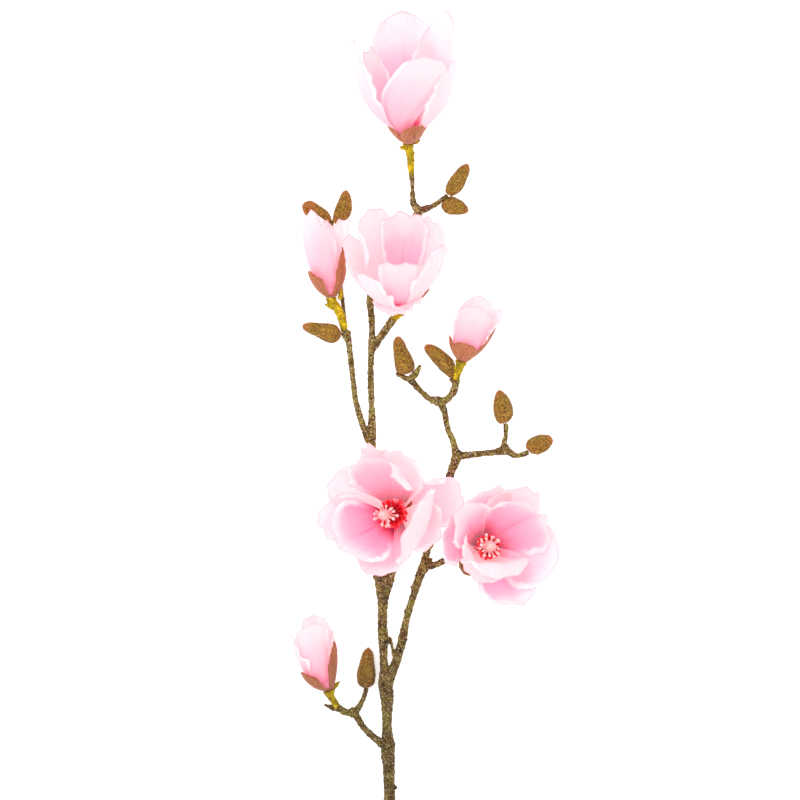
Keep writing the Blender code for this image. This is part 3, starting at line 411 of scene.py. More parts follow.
# In millimetres: a petal's tip from its bloom's base, half its width, and its rise, wave and fold. In
# degrees: its bow, cup, roll and curl, and side, which is where it stands round the axis. The rest are
# shares. A bract's tip is told by how far it spreads from the axis and how high it stands along it.
blooms = {
    "top_bloom": {
        "base": (408, 138, 44), "axis": (-0.05, 0.9, 0.42), "front": eyeSide, "open": True,
        "shoot": "main stem", "stalk": ((410.9, 166, 42.6, 3.5), (410.5, 156, 41.5, 4.0)),
        "heart": 8.0, "reach": 11.2,
        "petals": (
            dict(tip=(-6, 125, 14), side=182, half=45, bow=24, cup=45, shoulder=0.3, phase=0.1, rise=2),
            dict(tip=(41, 122, 26), side=140, half=27, bow=26, cup=45, roll=(0, 80), curl=40, top=0.6,
                 phase=0.3),
            dict(tip=(27, 73, 60), side=-5, half=28, bow=37, cup=55, sway=0.62, top=0.95, shoulder=0.12,
                 phase=0.5, rise=2),
            dict(tip=(-40, 85, 36), side=240, half=24, bow=28, cup=45, phase=0.7, rise=2),
            dict(tip=(-54, 92, 42), side=-75, half=30, bow=38, cup=50, phase=0.9, rise=4),
            dict(tip=(42, 72, 44), side=62, half=26, bow=38, cup=50, phase=0.2, rise=4),
            dict(tip=(-8, 96, -42), side=190, half=36, bow=33, cup=40, phase=0.4),
        ),
        "bracts": (
            dict(side=18, spread=27, high=21, half=15, bow=30, cup=60),
            dict(side=-72, spread=22, high=21, half=9, bow=20, cup=50),
            dict(side=95, spread=24, high=24, half=8, bow=24, cup=50),
            dict(side=180, spread=21, high=-1.5, half=11, bow=10, cup=40),
        ),
    },
    "upper_left_bloom": {
        "base": (330.5, 292, 31), "axis": (-0.08, 1, 0.06), "front": eyeSide, "open": False,
        "shoot": "upper left bloom's shoot", "stalk": ((342.5, 321, 29.4, 4.1), (337, 308, 30, 4.2)),
        "heart": 5.6,
        "petals": (
            dict(tip=(-20, 82, 4), side=-25, half=25, bow=28, cup=80, widest=0.56, top=0.4, phase=0.1,
                 rise=2),
            dict(tip=(12, 72, 0), side=135, half=18, bow=14, cup=30, widest=0.95, top=1, curl=30,
                 shoulder=0.1, lean=0.08, phase=0.4),
            dict(tip=(-8, 72, -6), side=215, half=24, bow=26, cup=80, phase=0.7),
        ),
        "bracts": (
            dict(side=-65, spread=22, high=23.5, half=13, bow=26, cup=70, top=0.5),
            dict(side=52, spread=20.5, high=44, half=8.5, bow=20, cup=55, top=0.5, sway=-0.3),
            dict(side=180, spread=17.5, high=21, half=12, bow=30, cup=70),
        ),
    },
    "middle_bloom": {
        "base": (401, 304, 42), "axis": (-0.06, 0.8, 0.6), "front": eyeSide, "open": True,
        "shoot": "middle bloom's shoot", "stalk": ((397.8, 315, 34.1, 3.8),),
        "heart": 7.5, "reach": 11.5,
        "petals": (
            dict(tip=(4, 90, 30), side=180, half=26, bow=25, cup=45, roll=(10, 10), top=1, widest=0.8,
                 shoulder=0.08, phase=0.1, rise=2),
            dict(tip=(-32, 92, 34), side=215, half=29, bow=28, cup=45, roll=(-95, 20), top=0.9, phase=0.3),
            dict(tip=(-56, 64, 36), side=245, half=26, bow=26, cup=40, roll=(20, 20), phase=0.5),
            dict(tip=(32, 82, 32), side=145, half=27, bow=26, cup=40, roll=(10, 10), phase=0.7),
            dict(tip=(38, 56, 48), side=50, half=28, bow=34, cup=40, roll=(10, 10), phase=0.9),
            dict(tip=(3, 38, 56), side=-3, half=27, bow=38, cup=50, roll=(20, 20), widest=0.85, top=1,
                 shoulder=0.06, phase=0.2, rise=2),
            dict(tip=(-40, 29, 46), side=-52, half=29, bow=38, cup=45, roll=(20, 20), top=0.95, shoulder=0.1,
                 phase=0.4),
            dict(tip=(-13, -11, 22), side=-20, half=22, bow=10, cup=10, curl=80, curlFrom=0.3, phase=0.6),
            dict(tip=(14, -2, 22), side=40, half=20, bow=14, cup=20, curl=60, curlFrom=0.3, phase=0.8),
        ),
        "bracts": (
            dict(side=100, spread=30, high=14, half=8, bow=16, cup=50),
            dict(side=230, spread=21, high=8, half=10, bow=24, cup=50),
            dict(side=165, spread=18, high=9, half=10, bow=24, cup=50),
        ),
    },
    "upper_right_bloom": {
        "base": (463, 356, 40), "axis": (0.32, 1, 0.15), "front": eyeSide, "open": False,
        "shoot": "upper right bloom's shoot", "stalk": ((457, 375, 32, 3.3), (459.8, 367, 36, 4.2)),
        "heart": 5.6,
        "petals": (
            dict(tip=(15, 48, 14), side=5, half=24, bow=32, cup=70, top=0.85, shoulder=0.1, phase=0.1,
                 rise=2),
            dict(tip=(20, 59, 0), side=185, half=26, bow=22, cup=70, phase=0.4),
            dict(tip=(38, 46, 2), side=120, half=16, bow=20, cup=60, phase=0.6),
            dict(tip=(-5, 38, -6), side=-100, half=18, bow=30, cup=70, phase=0.8),
        ),
        "bracts": (
            dict(side=0, spread=17, high=15, half=16, bow=30, cup=75),
            dict(side=-80, spread=19.5, high=16, half=8, bow=24, cup=60),
            dict(side=95, spread=22.5, high=38.5, half=9, bow=22, cup=60),
            dict(side=176, spread=22.5, high=18, half=12, bow=24, cup=70),
        ),
    },
    "open_left_bloom": {
        "base": (398, 513, 42), "axis": (-0.35, 0.0, 1), "front": rightSide, "open": True,
        "shoot": "open left bloom's shoot", "stalk": ((402, 514.2, 29.4, 4.0),),
        "heart": 8.5, "reach": 14.5,
        "petals": (
            dict(tip=(-24, 56, 60), half=38, bow=32, cup=45, roll=(20, -130), phase=0.1, skew=-0.1, wave=1.6,
                 rise=2),
            dict(tip=(-60, -29, 52), half=38, bow=30, cup=42, roll=(35, 35), curl=35, fold=2, phase=0.4,
                 wave=1.6, rise=2),
            dict(tip=(8, -12, 56), half=45, bow=82, cup=28, sway=0.03, phase=0.7, top=0.9, wave=2.4, rise=2),
            dict(tip=(-66, 36, 34), half=33, bow=24, cup=40, roll=(25, 25), phase=0.2),
            dict(tip=(-79, -8, 38), half=27, bow=28, cup=40, roll=(20, 20), phase=0.5),
            dict(tip=(-32, 68, 42), half=16, bow=30, cup=40, roll=(20, 20), phase=0.8),
            dict(tip=(-2, 63, 47), half=29, bow=30, cup=40, roll=(30, 30), phase=0.3),
            dict(tip=(64, 24, 28), half=32, bow=34, cup=45, roll=(-150, 0), phase=0.6),
            dict(tip=(42, -19, 38), half=28, bow=34, cup=40, roll=(30, 30), phase=0.9),
            dict(tip=(-24, -60, 40), half=30, bow=30, cup=40, roll=(20, 20), phase=0.15),
        ),
        "bracts": (
            dict(side=70, spread=21, high=-1.5, half=11, bow=10, cup=30),
            dict(side=180, spread=21, high=-1.5, half=11, bow=10, cup=30),
            dict(side=280, spread=21, high=-1.5, half=11, bow=10, cup=30),
        ),
    },
    "open_right_bloom": {
        "base": (481.5, 546, 42), "axis": (0.42, 0.0, 1), "front": rightSide, "open": True,
        "shoot": "open right bloom's shoot", "stalk": ((476.5, 547.5, 29.5, 3.6),),
        "heart": 8.5, "reach": 11.0,
        "petals": (
            dict(tip=(60, 32, 54), half=38, bow=30, cup=45, roll=(10, 10), fold=2.5, phase=0.3, wave=1.6,
                 rise=2),
            dict(tip=(-24, 40, 50), half=27, bow=42, cup=35, roll=(40, 0), curl=90, curlFrom=0.55, phase=0.6,
                 wave=1.6, rise=2),
            dict(tip=(23, -30, 42), side=-92, half=38, bow=58, cup=16, roll=(10, 10), curl=150,
                 curlFrom=0.55, phase=0.1, wave=1.6, skew=0.2, rise=2),
            dict(tip=(-14, -26, 40), half=29, bow=46, cup=30, roll=(10, 10), curl=120, curlFrom=0.5,
                 phase=0.8, wave=1.6),
            dict(tip=(-38, 17, 54), half=31, bow=36, cup=40, roll=(10, 10), phase=0.5),
            dict(tip=(12, 60, 40), half=30, bow=28, cup=40, roll=(20, 20), phase=0.2),
            dict(tip=(50, 57, 36), half=28, bow=28, cup=40, roll=(20, 20), phase=0.7),
            dict(tip=(75, -7, 40), half=41, bow=28, cup=40, roll=(20, 20), phase=0.4),
            dict(tip=(43, -54, 36), half=32, bow=30, cup=40, roll=(20, 20), phase=0.9),
        ),
        "bracts": (
            dict(side=232, spread=34, high=2, half=14, bow=24, cup=40),
            dict(side=110, spread=20, high=-2, half=11, bow=10, cup=30),
            dict(side=350, spread=20, high=-2, half=11, bow=10, cup=30),
        ),
    },
    "lower_left_bloom": {
        "base": (327.5, 685.5, 21), "axis": (-0.26, 1, 0.0), "front": eyeSide, "open": False,
        "shoot": "lower left shoot", "stalk": ((333.2, 700.5, 18, 3.4),),
        "heart": 5.6,
        "petals": (
            dict(tip=(-18, 62, 12), side=-5, half=23, bow=30, cup=75, sway=0.2, claw=0.35, widest=0.5,
                 top=0.95, shoulder=0.1, phase=0.3, rise=2),
            dict(tip=(-16, 70, -10), side=185, half=23, bow=26, cup=70, phase=0.1),
            dict(tip=(-38, 51, -2), side=-100, half=22, bow=23, cup=60, phase=0.6),
            dict(tip=(4, 55, -4), side=105, half=15, bow=17, cup=70, phase=0.9),
        ),
        "bracts": (
            dict(side=-65, spread=24, high=21, half=13, bow=30, cup=70, top=0.5),
            dict(side=52, spread=23, high=42, half=8, bow=18, cup=55, top=0.5, sway=0.25),
            dict(side=180, spread=14, high=15, half=11, bow=24, cup=60),
        ),
    },
}
# how pink each petal is, in the order of the petals above: 1 is the full colour, 0 all but white
blushes = {
    "top_bloom": (1.0, 0.3, 0.85, 0.6, 0.4, 0.3, 0.6),
    "upper_left_bloom": (0.7, 0.4, 0.6),
    "middle_bloom": (0.85, 0.15, 0.2, 0.4, 0.08, 0.9, 0.18, 0.65, 0.65),
    "upper_right_bloom": (0.95, 0.6, 0.7, 0.5),
    "open_left_bloom": (0.65, 1.0, 0.0, 0.05, 0.05, 0.3, 0.05, 0.35, 0.3, 0.7),
    "open_right_bloom": (0.85, 0.7, 0.0, 0.1, 0.8, 0.7, 0.2, 0.6, 1.0),
    "lower_left_bloom": (0.85, 0.4, 0.75, 0.9),
}
petalLook = dict(columns=31, rows=37, thickness=0.75, rimThickness=0.35, foot=(3.5, 0), ruffle=1.25,
                 crumple=0.65, frizz=0.8)
bractLook = dict(columns=13, rows=15, thickness=1.15, rimThickness=0.6, foot=(5.0, -4.0), ruffle=0.2,
                 crumple=0.15, frizz=0.0)
usualBlade = dict(curl=0, curlFrom=0.66, widest=0.62, top=0.8, claw=0.14, frill=0.014, shoulder=0.2, phase=0,
                  wave=1.2, rise=0, roll=(0, 0), skew=0, sway=0, lean=0, fold=0)


def bloomAxes(bloom):
    axis = np.array(Vector(bloom["axis"]).normalized())
    front = np.array(bloom["front"], float)
    front -= front @ axis * axis
    front /= np.linalg.norm(front)
    return np.array(onSheet(*bloom["base"])), axis, front, np.cross(axis, front)


def eased(low, high, values):
    # 0 up to low, 1 from high on, and a smooth step between them
    share = np.clip((np.asarray(values, float) - low) / (high - low), 0, 1)
    return share * share * (3 - 2 * share)


def traced(angles, step):
    # how far forward and aside a line gets that leans by these angles, one for each step
    forward = np.concatenate([[0], np.cumsum((np.cos(angles[1:]) + np.cos(angles[:-1])) / 2)]) * step
    aside = np.concatenate([[0], np.cumsum((np.sin(angles[1:]) + np.sin(angles[:-1])) / 2)]) * step
    return forward, aside


def midribOf(length, bow, curl, curlFrom, steps=80):
    # the line down a blade's middle, forward along its chord and outward, and how far it leans there
    share = np.linspace(0, 1, steps + 1)
    lean = np.radians(bow * (1 - 2 * share) + curl * eased(curlFrom, 1, share))
    along, out = traced(lean, 1 / steps)
    turn = math.atan2(out[-1], along[-1])
    size = length / math.hypot(out[-1], along[-1])
    forward = (along * math.cos(turn) + out * math.sin(turn)) * size
    outward = (out * math.cos(turn) - along * math.sin(turn)) * size
    return share, forward, outward, lean - turn


def sectionOf(width, half, cup, roll, rolling, share, steps=48):
    # how far aside and inward a point lies on a row of a blade, which cups, with its margins rolled back
    fine = np.linspace(0, 1, steps + 1)
    turn = np.radians(cup * fine * width - roll * rolling * eased(0.5, 1, fine))
    aside, inward = traced(turn, half * width / steps)
    return np.interp(share, fine, aside), np.interp(share, fine, inward)


def bladeFrame(bloom, blade, look):
    # where a blade starts, and its own directions: across, along the chord to its tip, and inward
    _, axis, front, side = bloomAxes(bloom)
    tip = np.array(blade["tip"], float)
    if "side" in blade:
        angle = math.radians(blade["side"])
        outward = front * math.cos(angle) + side * math.sin(angle)
    else:
        outward = tip - tip @ axis * axis
        outward /= np.linalg.norm(outward)
    start = outward * look["foot"][0] + axis * (look["foot"][1] + blade["rise"])
    chord = tip - start
    length = np.linalg.norm(chord)
    chord /= length
    inward = axis * (chord @ outward) - outward * (chord @ axis)
    inward -= inward @ chord * chord
    inward /= np.linalg.norm(inward)
    return start, np.cross(chord, inward), chord, inward, length


# the waves of a blade's outline: size as a share of its width, turns from foot to tip, which random shift
outlineWaves = ((0.012, 2.7, 0), (0.009, 4.1, 1))
frizzWave = (0.009, 7.3, 7)


def waved(waves, v, shifts):
    return sum(size * math.sin(fullTurn * turns * v + shifts[shift]) for size, turns, shift in waves)


def bladeWidth(blade, look, v, shifts):
    # the share of its full width that a blade has at v, from 0 at the foot to 1 at the tip
    widest, phase = blade["widest"], blade["phase"]
    width = blade["claw"] + (1 - blade["claw"]) * math.sin(math.pi / 2 * min(v / widest, 1)) ** 1.15
    width *= 1 - (1 - blade["top"]) * (max(v - widest, 0) / (1 - widest)) ** 2
    width *= 1 + 1.2 * blade["frill"] * eased(0.3, 0.7, v) * math.sin(fullTurn * (2.2 * v + phase))
    return width * (1 + waved(outlineWaves, v, shifts)) * (1 + look["frizz"] * waved([frizzWave], v, shifts))


def bladeReach(blade, u, v, beats, shifts):
    # how far along a blade a point at u and v lies: round shoulders, and a waved end
    waves = math.sin(fullTurn * (1.4 * u + blade["phase"] + 0.1))
    waves += 0.4 * math.sin(fullTurn * (3.1 * u + 2 * blade["phase"]))
    reach = 1 - blade["shoulder"] * abs(u) ** 2.4 * v + blade["frill"] * v * v * waves
    return v * (reach + blade["lean"] * u * v + 0.006 * v**3 * math.sin(beats[0] * 1.4 * u + shifts[2]))


def bladeLift(blade, look, u, v, beats, shifts):
    # waves, the fold down the middle, ruffled margins and a crumpled face, in millimetres
    phase, frizz = blade["phase"], look["frizz"]
    ripple = abs(u) ** 2.5 * math.sin(fullTurn * (2 * v + phase + 0.3 * np.sign(u))) * eased(0.2, 0.6, v)
    lift = blade["wave"] * (ripple + v**5 * math.sin(fullTurn * (1.3 * u + 1.7 * phase)))
    lift -= blade["fold"] * math.exp(-((u / 0.1) ** 2)) * eased(0.15, 0.5, v)
    ruffle = math.sin(beats[1] * 2.6 * v + beats[2] * 1.2 * u + shifts[3])
    ruffle += 0.5 * math.sin(beats[3] * 3.1 * v + 6 * u + shifts[4])
    ruffle += frizz * math.sin(beats[2] * 6.1 * v + 8 * u + shifts[6])
    margin = max(abs(u) ** 4 * eased(0.25, 0.6, v), v**7)
    crumple = math.sin(4.1 * u + 7.3 * v + shifts[5]) * math.sin(6.2 * v - 3.3 * u + shifts[6])
    crumple += 0.5 * math.sin(9.7 * u + shifts[7])
    return lift + look["ruffle"] * margin * ruffle + look["crumple"] * eased(0.15, 0.4, v) * crumple


def bladeGrid(bloom, blade, look, number):
    # rows of points on the middle of a blade, in metres
    blade = {**usualBlade, **blade}
    base, half = bloomAxes(bloom)[0], blade["half"]
    start, across, chord, inward, length = bladeFrame(bloom, blade, look)
    share, along, out, lean = midribOf(length, blade["bow"], blade["curl"], blade["curlFrom"])
    crowding = math.pi / 2 * 0.86  # columns and rows stand closer together towards the edges
    columns = np.sin(np.linspace(-1, 1, look["columns"]) * crowding) / math.sin(crowding)
    rows = np.linspace(0, 1, look["rows"]) ** 0.92
    grid = np.zeros((len(rows), len(columns), 3))
    draw = np.random.default_rng(1000 + number)  # how often this blade's margins wave, and from where
    beats, shifts = draw.uniform(2.5, 7.0, 4), draw.uniform(0, fullTurn, 8)
    for row, v in enumerate(rows):
        width = bladeWidth(blade, look, v, shifts)
        for column, u in enumerate(columns):
            t = bladeReach(blade, u, v, beats, shifts)
            roll = blade["roll"][0 if u < 0 else 1]
            aside, lift = sectionOf(width, half, blade["cup"], roll, eased(0.25, 0.8, v), abs(u))
            aside = math.copysign(aside, u) + blade["skew"] * half * t * t
            aside += blade["sway"] * half * math.sin(math.pi * t**0.7)
            lift += bladeLift(blade, look, u, v, beats, shifts)
            beyond, tilt = max(t - 1, 0) * length, np.interp(t, share, lean)
            forward = np.interp(t, share, along) + beyond * math.cos(tilt) + lift * math.sin(tilt)
            raised = lift * math.cos(tilt) - np.interp(t, share, out) - beyond * math.sin(tilt)
            grid[row, column] = (start + aside * across + forward * chord + raised * inward) * mm + base
    return grid, rows, columns


def bladeShell(grid, rows, columns, look):
    # both faces of a blade and the rim between them, thinner towards its edges
    down, over = np.gradient(grid, axis=0), np.gradient(grid, axis=1)
    normals = np.cross(over, down)
    normals /= np.linalg.norm(normals, axis=2, keepdims=True) + 1e-12
    v, u = np.meshgrid(rows, np.abs(columns), indexing="ij")
    edge = np.maximum(eased(0.75, 1, u), eased(0.85, 1, v))
    half = (look["thickness"] + (look["rimThickness"] - look["thickness"]) * edge)[..., None] / 2 * mm
    count = grid.shape[0] * grid.shape[1]
    points = np.concatenate([(grid + normals * half).reshape(-1, 3), (grid - normals * half).reshape(-1, 3)])
    points[:, 2] = np.maximum(points[:, 2], 0)
    place = np.arange(count).reshape(grid.shape[:2])
    a, b, c, d = place[:-1, :-1], place[:-1, 1:], place[1:, 1:], place[1:, :-1]
    faces = [np.stack([a, b, c, d], -1).reshape(-1, 4), np.stack([a, d, c, b], -1).reshape(-1, 4) + count]
    border = np.concatenate([place[0, :-1], place[:-1, -1], place[-1, :0:-1], place[:0:-1, 0]])
    after = np.roll(border, -1)
    faces.append(np.stack([border, border + count, after + count, after], -1))
    flat = np.stack([(np.broadcast_to(columns, v.shape) + 1) / 2, v], -1).reshape(-1, 2)
    inner = np.concatenate([np.ones(count), np.zeros(count)])
    return points, np.concatenate(faces), np.concatenate([flat, flat]), inner


def lathed(axes, profile, sides=20):
    # a turned shape about an axis, from heights and radii in millimetres
    base, axis, front, side = axes
    turns = np.arange(sides) / sides * fullTurn
    ring = np.cos(turns)[:, None] * front + np.sin(turns)[:, None] * side
    points = [base + (axis * height + ring * max(radius, 0.01)) * mm for height, radius in profile]
    faces = []
    for first in range(0, (len(profile) - 1) * sides, sides):
        for one in range(sides):
            two = (one + 1) % sides
            faces.append((first + one, first + two, first + sides + two, first + sides + one))
    top = (len(profile) - 1) * sides
    faces += [tuple(range(sides))[::-1], tuple(range(top, top + sides))]
    return np.concatenate(points), faces


def bladesPiece(name, bloom, blades, blushOf, look, material, middle):
    # every blade of one kind on a bloom, round a small turned middle
    points, faces, flats = [], [], []
    values = {"inner": [], "seed": [], "blush": [], "start": []}
    total = 0
    for number, blade in enumerate(blades):
        grid, rows, columns = bladeGrid(bloom, blade, look, number * 7 + len(name))
        where, shell, flat, inner = bladeShell(grid, rows, columns, look)
        points.append(where)
        faces += (shell + total).tolist()
        flats.append(flat)
        values["inner"].append(inner)
        values["seed"].append(np.full(len(where), (number * 0.618 + len(name) * 0.137) % 1))
        values["blush"].append(np.full(len(where), blushOf[number]))
        total += len(where)
    where, shell = lathed(bloomAxes(bloom), middle["profile"])
    points.append(where)
    faces += [tuple(corner + total for corner in face) for face in shell]
    flats.append(np.tile([0.5, middle["tone"]], (len(where), 1)))
    for label, value in (("inner", middle["inner"]), ("seed", 0.0), ("blush", 1.0)):
        values[label].append(np.full(len(where), value))
    values["start"].append(np.full(total + len(where), middle["start"]))
    mesh = bpy.data.meshes.new(name)
    mesh.from_pydata(np.concatenate(points).tolist(), [], faces)
    for label, lists in values.items():
        addAttribute(mesh, label, np.concatenate(lists))
    corners = np.empty(len(mesh.loops), np.int32)
    mesh.loops.foreach_get("vertex_index", corners)
    mesh.uv_layers.new(name="blade").data.foreach_set("uv", np.concatenate(flats)[corners].ravel())
    mesh.materials.append(material)
    mesh.shade_smooth()
    mesh.set_sharp_from_angle(angle=math.radians(62))
    return makeObject(name, mesh)


def bractBlade(bloom, bract):
    _, axis, front, side = bloomAxes(bloom)
    angle = math.radians(bract["side"])
    tip = (front * math.cos(angle) + side * math.sin(angle)) * bract["spread"] + axis * bract["high"]
    return dict(bract, tip=tip, claw=0.5, wave=0.3, frill=0.02)


# branch, stalks and buds: limbs along paths, grown together
def newGeometryTree(name, sizes):
    return newTree(name, "GeometryNodeTree", {"Geometry": "Geometry", **sizes}, {"Geometry": "Geometry"})


def stored(tree, geometry, name, value, domain="POINT"):
    inputs = {"Geometry": geometry, "Name": name, "Value": value}
    node = addNode(tree, "GeometryNodeStoreNamedAttribute", inputs, data_type="FLOAT", domain=domain)
    return node.outputs["Geometry"]


def randomOf(tree, low, high, seed, kind="FLOAT"):
    inputs = {"Min": low, "Max": high, "Seed": seed}
    return addNode(tree, "FunctionNodeRandomValue", inputs, data_type=kind).outputs["Value"]


def randomTurn(tree, amount, seed):
    return randomOf(tree, (-amount,) * 3, (amount,) * 3, seed, "FLOAT_VECTOR")


def tubeOf(tree, path, sides, radius):
    profile = addNode(tree, "GeometryNodeCurvePrimitiveCircle", {"Resolution": sides, "Radius": 1.0})
    inputs = {"Curve": path, "Profile Curve": profile.outputs["Curve"], "Scale": radius, "Fill Caps": True}
    return addNode(tree, "GeometryNodeCurveToMesh", inputs).outputs[0]


def scattered(tree, skin, density, seed):
    inputs = {"Mesh": skin, "Density": density, "Seed": seed}
    return addNode(tree, "GeometryNodeDistributePointsOnFaces", inputs).outputs


def copied(tree, points, instance, turn, size):
    inputs = {"Points": points, "Instance": instance, "Rotation": turn, "Scale": size}
    return addNode(tree, "GeometryNodeInstanceOnPoints", inputs).outputs[0]


def completed(tree, copies, skin, finish, result, smooth=True):
    # copies and skin as one real mesh in its material
    both = addNode(tree, "GeometryNodeJoinGeometry")
    tree.links.new(copies, both.inputs[0])
    tree.links.new(skin, both.inputs[0])
    real = addNode(tree, "GeometryNodeRealizeInstances", {"Geometry": both.outputs[0]}).outputs[0]
    if smooth:
        real = addNode(tree, "GeometryNodeSetShadeSmooth", {"Geometry": real}).outputs[0]
    node = addNode(tree, "GeometryNodeSetMaterial", {"Geometry": real, "Material": finish})
    join(tree, node.outputs[0], result["Geometry"])
    return tree


def limbTree():
    sizes = {"Step": 0.0008, "Sides": 20, "Ring height": 0.0004, "Rings per metre": 120.0, "Unevenness": 0.08,
             "Seed": 1.0}
    tree, given, result = newGeometryTree("limb along a path", sizes)
    path = addNode(tree, "GeometryNodeMeshToCurve", {"Mesh": given["Geometry"]}).outputs[0]
    inputs = {"Curve": path, "Length": given["Step"]}
    path = addNode(tree, "GeometryNodeResampleCurve", inputs, mode="LENGTH").outputs[0]
    length = addNode(tree, "GeometryNodeSplineParameter").outputs["Length"]
    beat = plus(tree, times(tree, length, given["Rings per metre"]), given["Seed"])
    inputs = {"W": beat, "Scale": 1.0, "Detail": 1.0}
    ring = addNode(tree, "ShaderNodeTexNoise", inputs, noise_dimensions="1D").outputs["Fac"]
    ring = times(tree, spanned(tree, ring, 0.52, 0.62), given["Ring height"])
    here = addNode(tree, "GeometryNodeInputPosition").outputs[0]
    uneven = swing(tree, noiseOf(tree, here, 110.0), given["Unevenness"])
    width = addNode(tree, "GeometryNodeInputNamedAttribute", {"Name": "width"}, data_type="FLOAT")
    width = times(tree, width.outputs["Attribute"], plus(tree, times(tree, uneven, 2.0), 1.0))
    tube = tubeOf(tree, path, given["Sides"], plus(tree, width, ring))
    real = addNode(tree, "GeometryNodeRealizeInstances", {"Geometry": tube}).outputs[0]
    join(tree, real, result["Geometry"])
    return tree


def barkTree():
    sizes = {"Lump height": 0.0009, "Grain height": 0.0005, "Warts per square metre": 20000.0,
             "Smallest wart": 0.0003, "Largest wart": 0.0009, "Seed": 4, "Finish": "Material"}
    tree, given, result = newGeometryTree("bark over a surface", sizes)
    here = addNode(tree, "GeometryNodeInputPosition").outputs[0]
    normal = addNode(tree, "GeometryNodeInputNormal").outputs[0]
    lumps = swing(tree, noiseOf(tree, here, 260.0), given["Lump height"])
    grain = swing(tree, noiseOf(tree, here, 900.0, 2.0, 0.6), given["Grain height"])
    offset = scaled(tree, normal, times(tree, plus(tree, lumps, grain), 2.0))
    inputs = {"Geometry": given["Geometry"], "Offset": offset}
    skin = stored(tree, addNode(tree, "GeometryNodeSetPosition", inputs).outputs[0], "wart", 0.0)
    spots = scattered(tree, skin, given["Warts per square metre"], given["Seed"])
    wart = addNode(tree, "GeometryNodeMeshIcoSphere", {"Radius": 1.0, "Subdivisions": 1}).outputs["Mesh"]
    chance = calc(tree, "POWER", randomOf(tree, 0.0, 1.0, given["Seed"]), 2.0)  # most warts are small
    size = minus(tree, given["Largest wart"], given["Smallest wart"])
    size = calc(tree, "MULTIPLY_ADD", chance, size, given["Smallest wart"])
    flat = vectorOf(tree, size, size, times(tree, size, 0.7))
    warts = copied(tree, spots["Points"], stored(tree, wart, "wart", 1.0), spots["Rotation"], flat)
    return completed(tree, warts, skin, given["Finish"], result)


def flockTree():
    sizes = {"Fibres per square metre": 2000000.0, "Fibre length": 0.0011, "Fibre width": 0.00016,
             "Lean": 0.6, "Tip direction": "Vector", "Seed": 9, "Finish": "Material"}
    tree, given, result = newGeometryTree("flock over a surface", sizes)
    skin = stored(tree, given["Geometry"], "shade", 0.3)
    spots = scattered(tree, skin, given["Fibres per square metre"], given["Seed"])
    inputs = {"Vertices": 3, "Radius Top": 0.0, "Radius Bottom": given["Fibre width"],
              "Depth": given["Fibre length"]}
    fibre = addNode(tree, "GeometryNodeMeshCone", inputs, fill_type="NONE").outputs["Mesh"]
    lean = scaled(tree, given["Tip direction"], given["Lean"])
    way = added(tree, added(tree, spots["Normal"], lean), randomTurn(tree, 0.35, given["Seed"]))
    turn = addNode(tree, "FunctionNodeAlignRotationToVector", {"Vector": way}, axis="Z").outputs[0]
    size = randomOf(tree, 0.5, 1.25, plus(tree, given["Seed"], 3.0))
    coat = copied(tree, spots["Points"], fibre, turn, size)
    coat = stored(tree, coat, "shade", randomOf(tree, 0.0, 1.0, given["Seed"]), "INSTANCE")
    return completed(tree, coat, skin, given["Finish"], result, smooth=False)


def sprayTree():
    # threads that stand out of a bloom's middle in a spiral, in the bloom's own axes
    sizes = {"Count": 40, "Bottom": 0.006, "Top": 0.016, "Root radius": 0.004, "Reach": 0.010, "Rise": 0.006,
             "Thickness": 0.0006, "Hook": 0.0, "Seed": 2, "Finish": "Material"}
    tree, given, result = newGeometryTree("spray round an axis", sizes)
    index = addNode(tree, "GeometryNodeInputIndex").outputs[0]
    share = calc(tree, "DIVIDE", plus(tree, index, 0.5), given["Count"])
    angle = times(tree, index, golden)
    height = calc(tree, "MULTIPLY_ADD", share, minus(tree, given["Top"], given["Bottom"]), given["Bottom"])
    across, up = [times(tree, calc(tree, way, angle), given["Root radius"]) for way in ("COSINE", "SINE")]
    inputs = {"Count": given["Count"], "Position": vectorOf(tree, across, up, height)}
    spots = addNode(tree, "GeometryNodePoints", inputs).outputs[0]
    middle = vectorOf(tree, times(tree, given["Reach"], 0.75), z=times(tree, given["Rise"], 0.15))
    hooked = minus(tree, given["Reach"], times(tree, given["Hook"], given["Reach"]))
    end = vectorOf(tree, hooked, z=given["Rise"])
    inputs = {"Resolution": 7, "Start": (0, 0, 0), "Middle": middle, "End": end}
    thread = addNode(tree, "GeometryNodeCurveQuadraticBezier", inputs).outputs[0]
    along = addNode(tree, "GeometryNodeSplineParameter").outputs["Factor"]
    swell = spanned(tree, along, 0.55, 0.85, 0.8, 1.25)  # the anther, which ends in a blunt point
    swell = times(tree, swell, spanned(tree, along, 0.9, 1.0, 1.0, 0.45))
    thread = tubeOf(tree, stored(tree, thread, "along", along), 6, times(tree, swell, given["Thickness"]))
    turn = added(tree, vectorOf(tree, z=angle), randomTurn(tree, 0.22, given["Seed"]))
    turn = addNode(tree, "FunctionNodeEulerToRotation", {"Euler": turn}).outputs[0]
    size = randomOf(tree, 0.75, 1.08, plus(tree, given["Seed"], 5.0))
    threads = copied(tree, spots, thread, turn, size)
    threads = stored(tree, threads, "shade", randomOf(tree, 0.0, 1.0, given["Seed"]), "INSTANCE")
    body = stored(tree, stored(tree, given["Geometry"], "along", 0.0), "shade", 0.5)
    return completed(tree, threads, body, given["Finish"], result)


limb, bark, flock, spray = limbTree(), barkTree(), flockTree(), sprayTree()


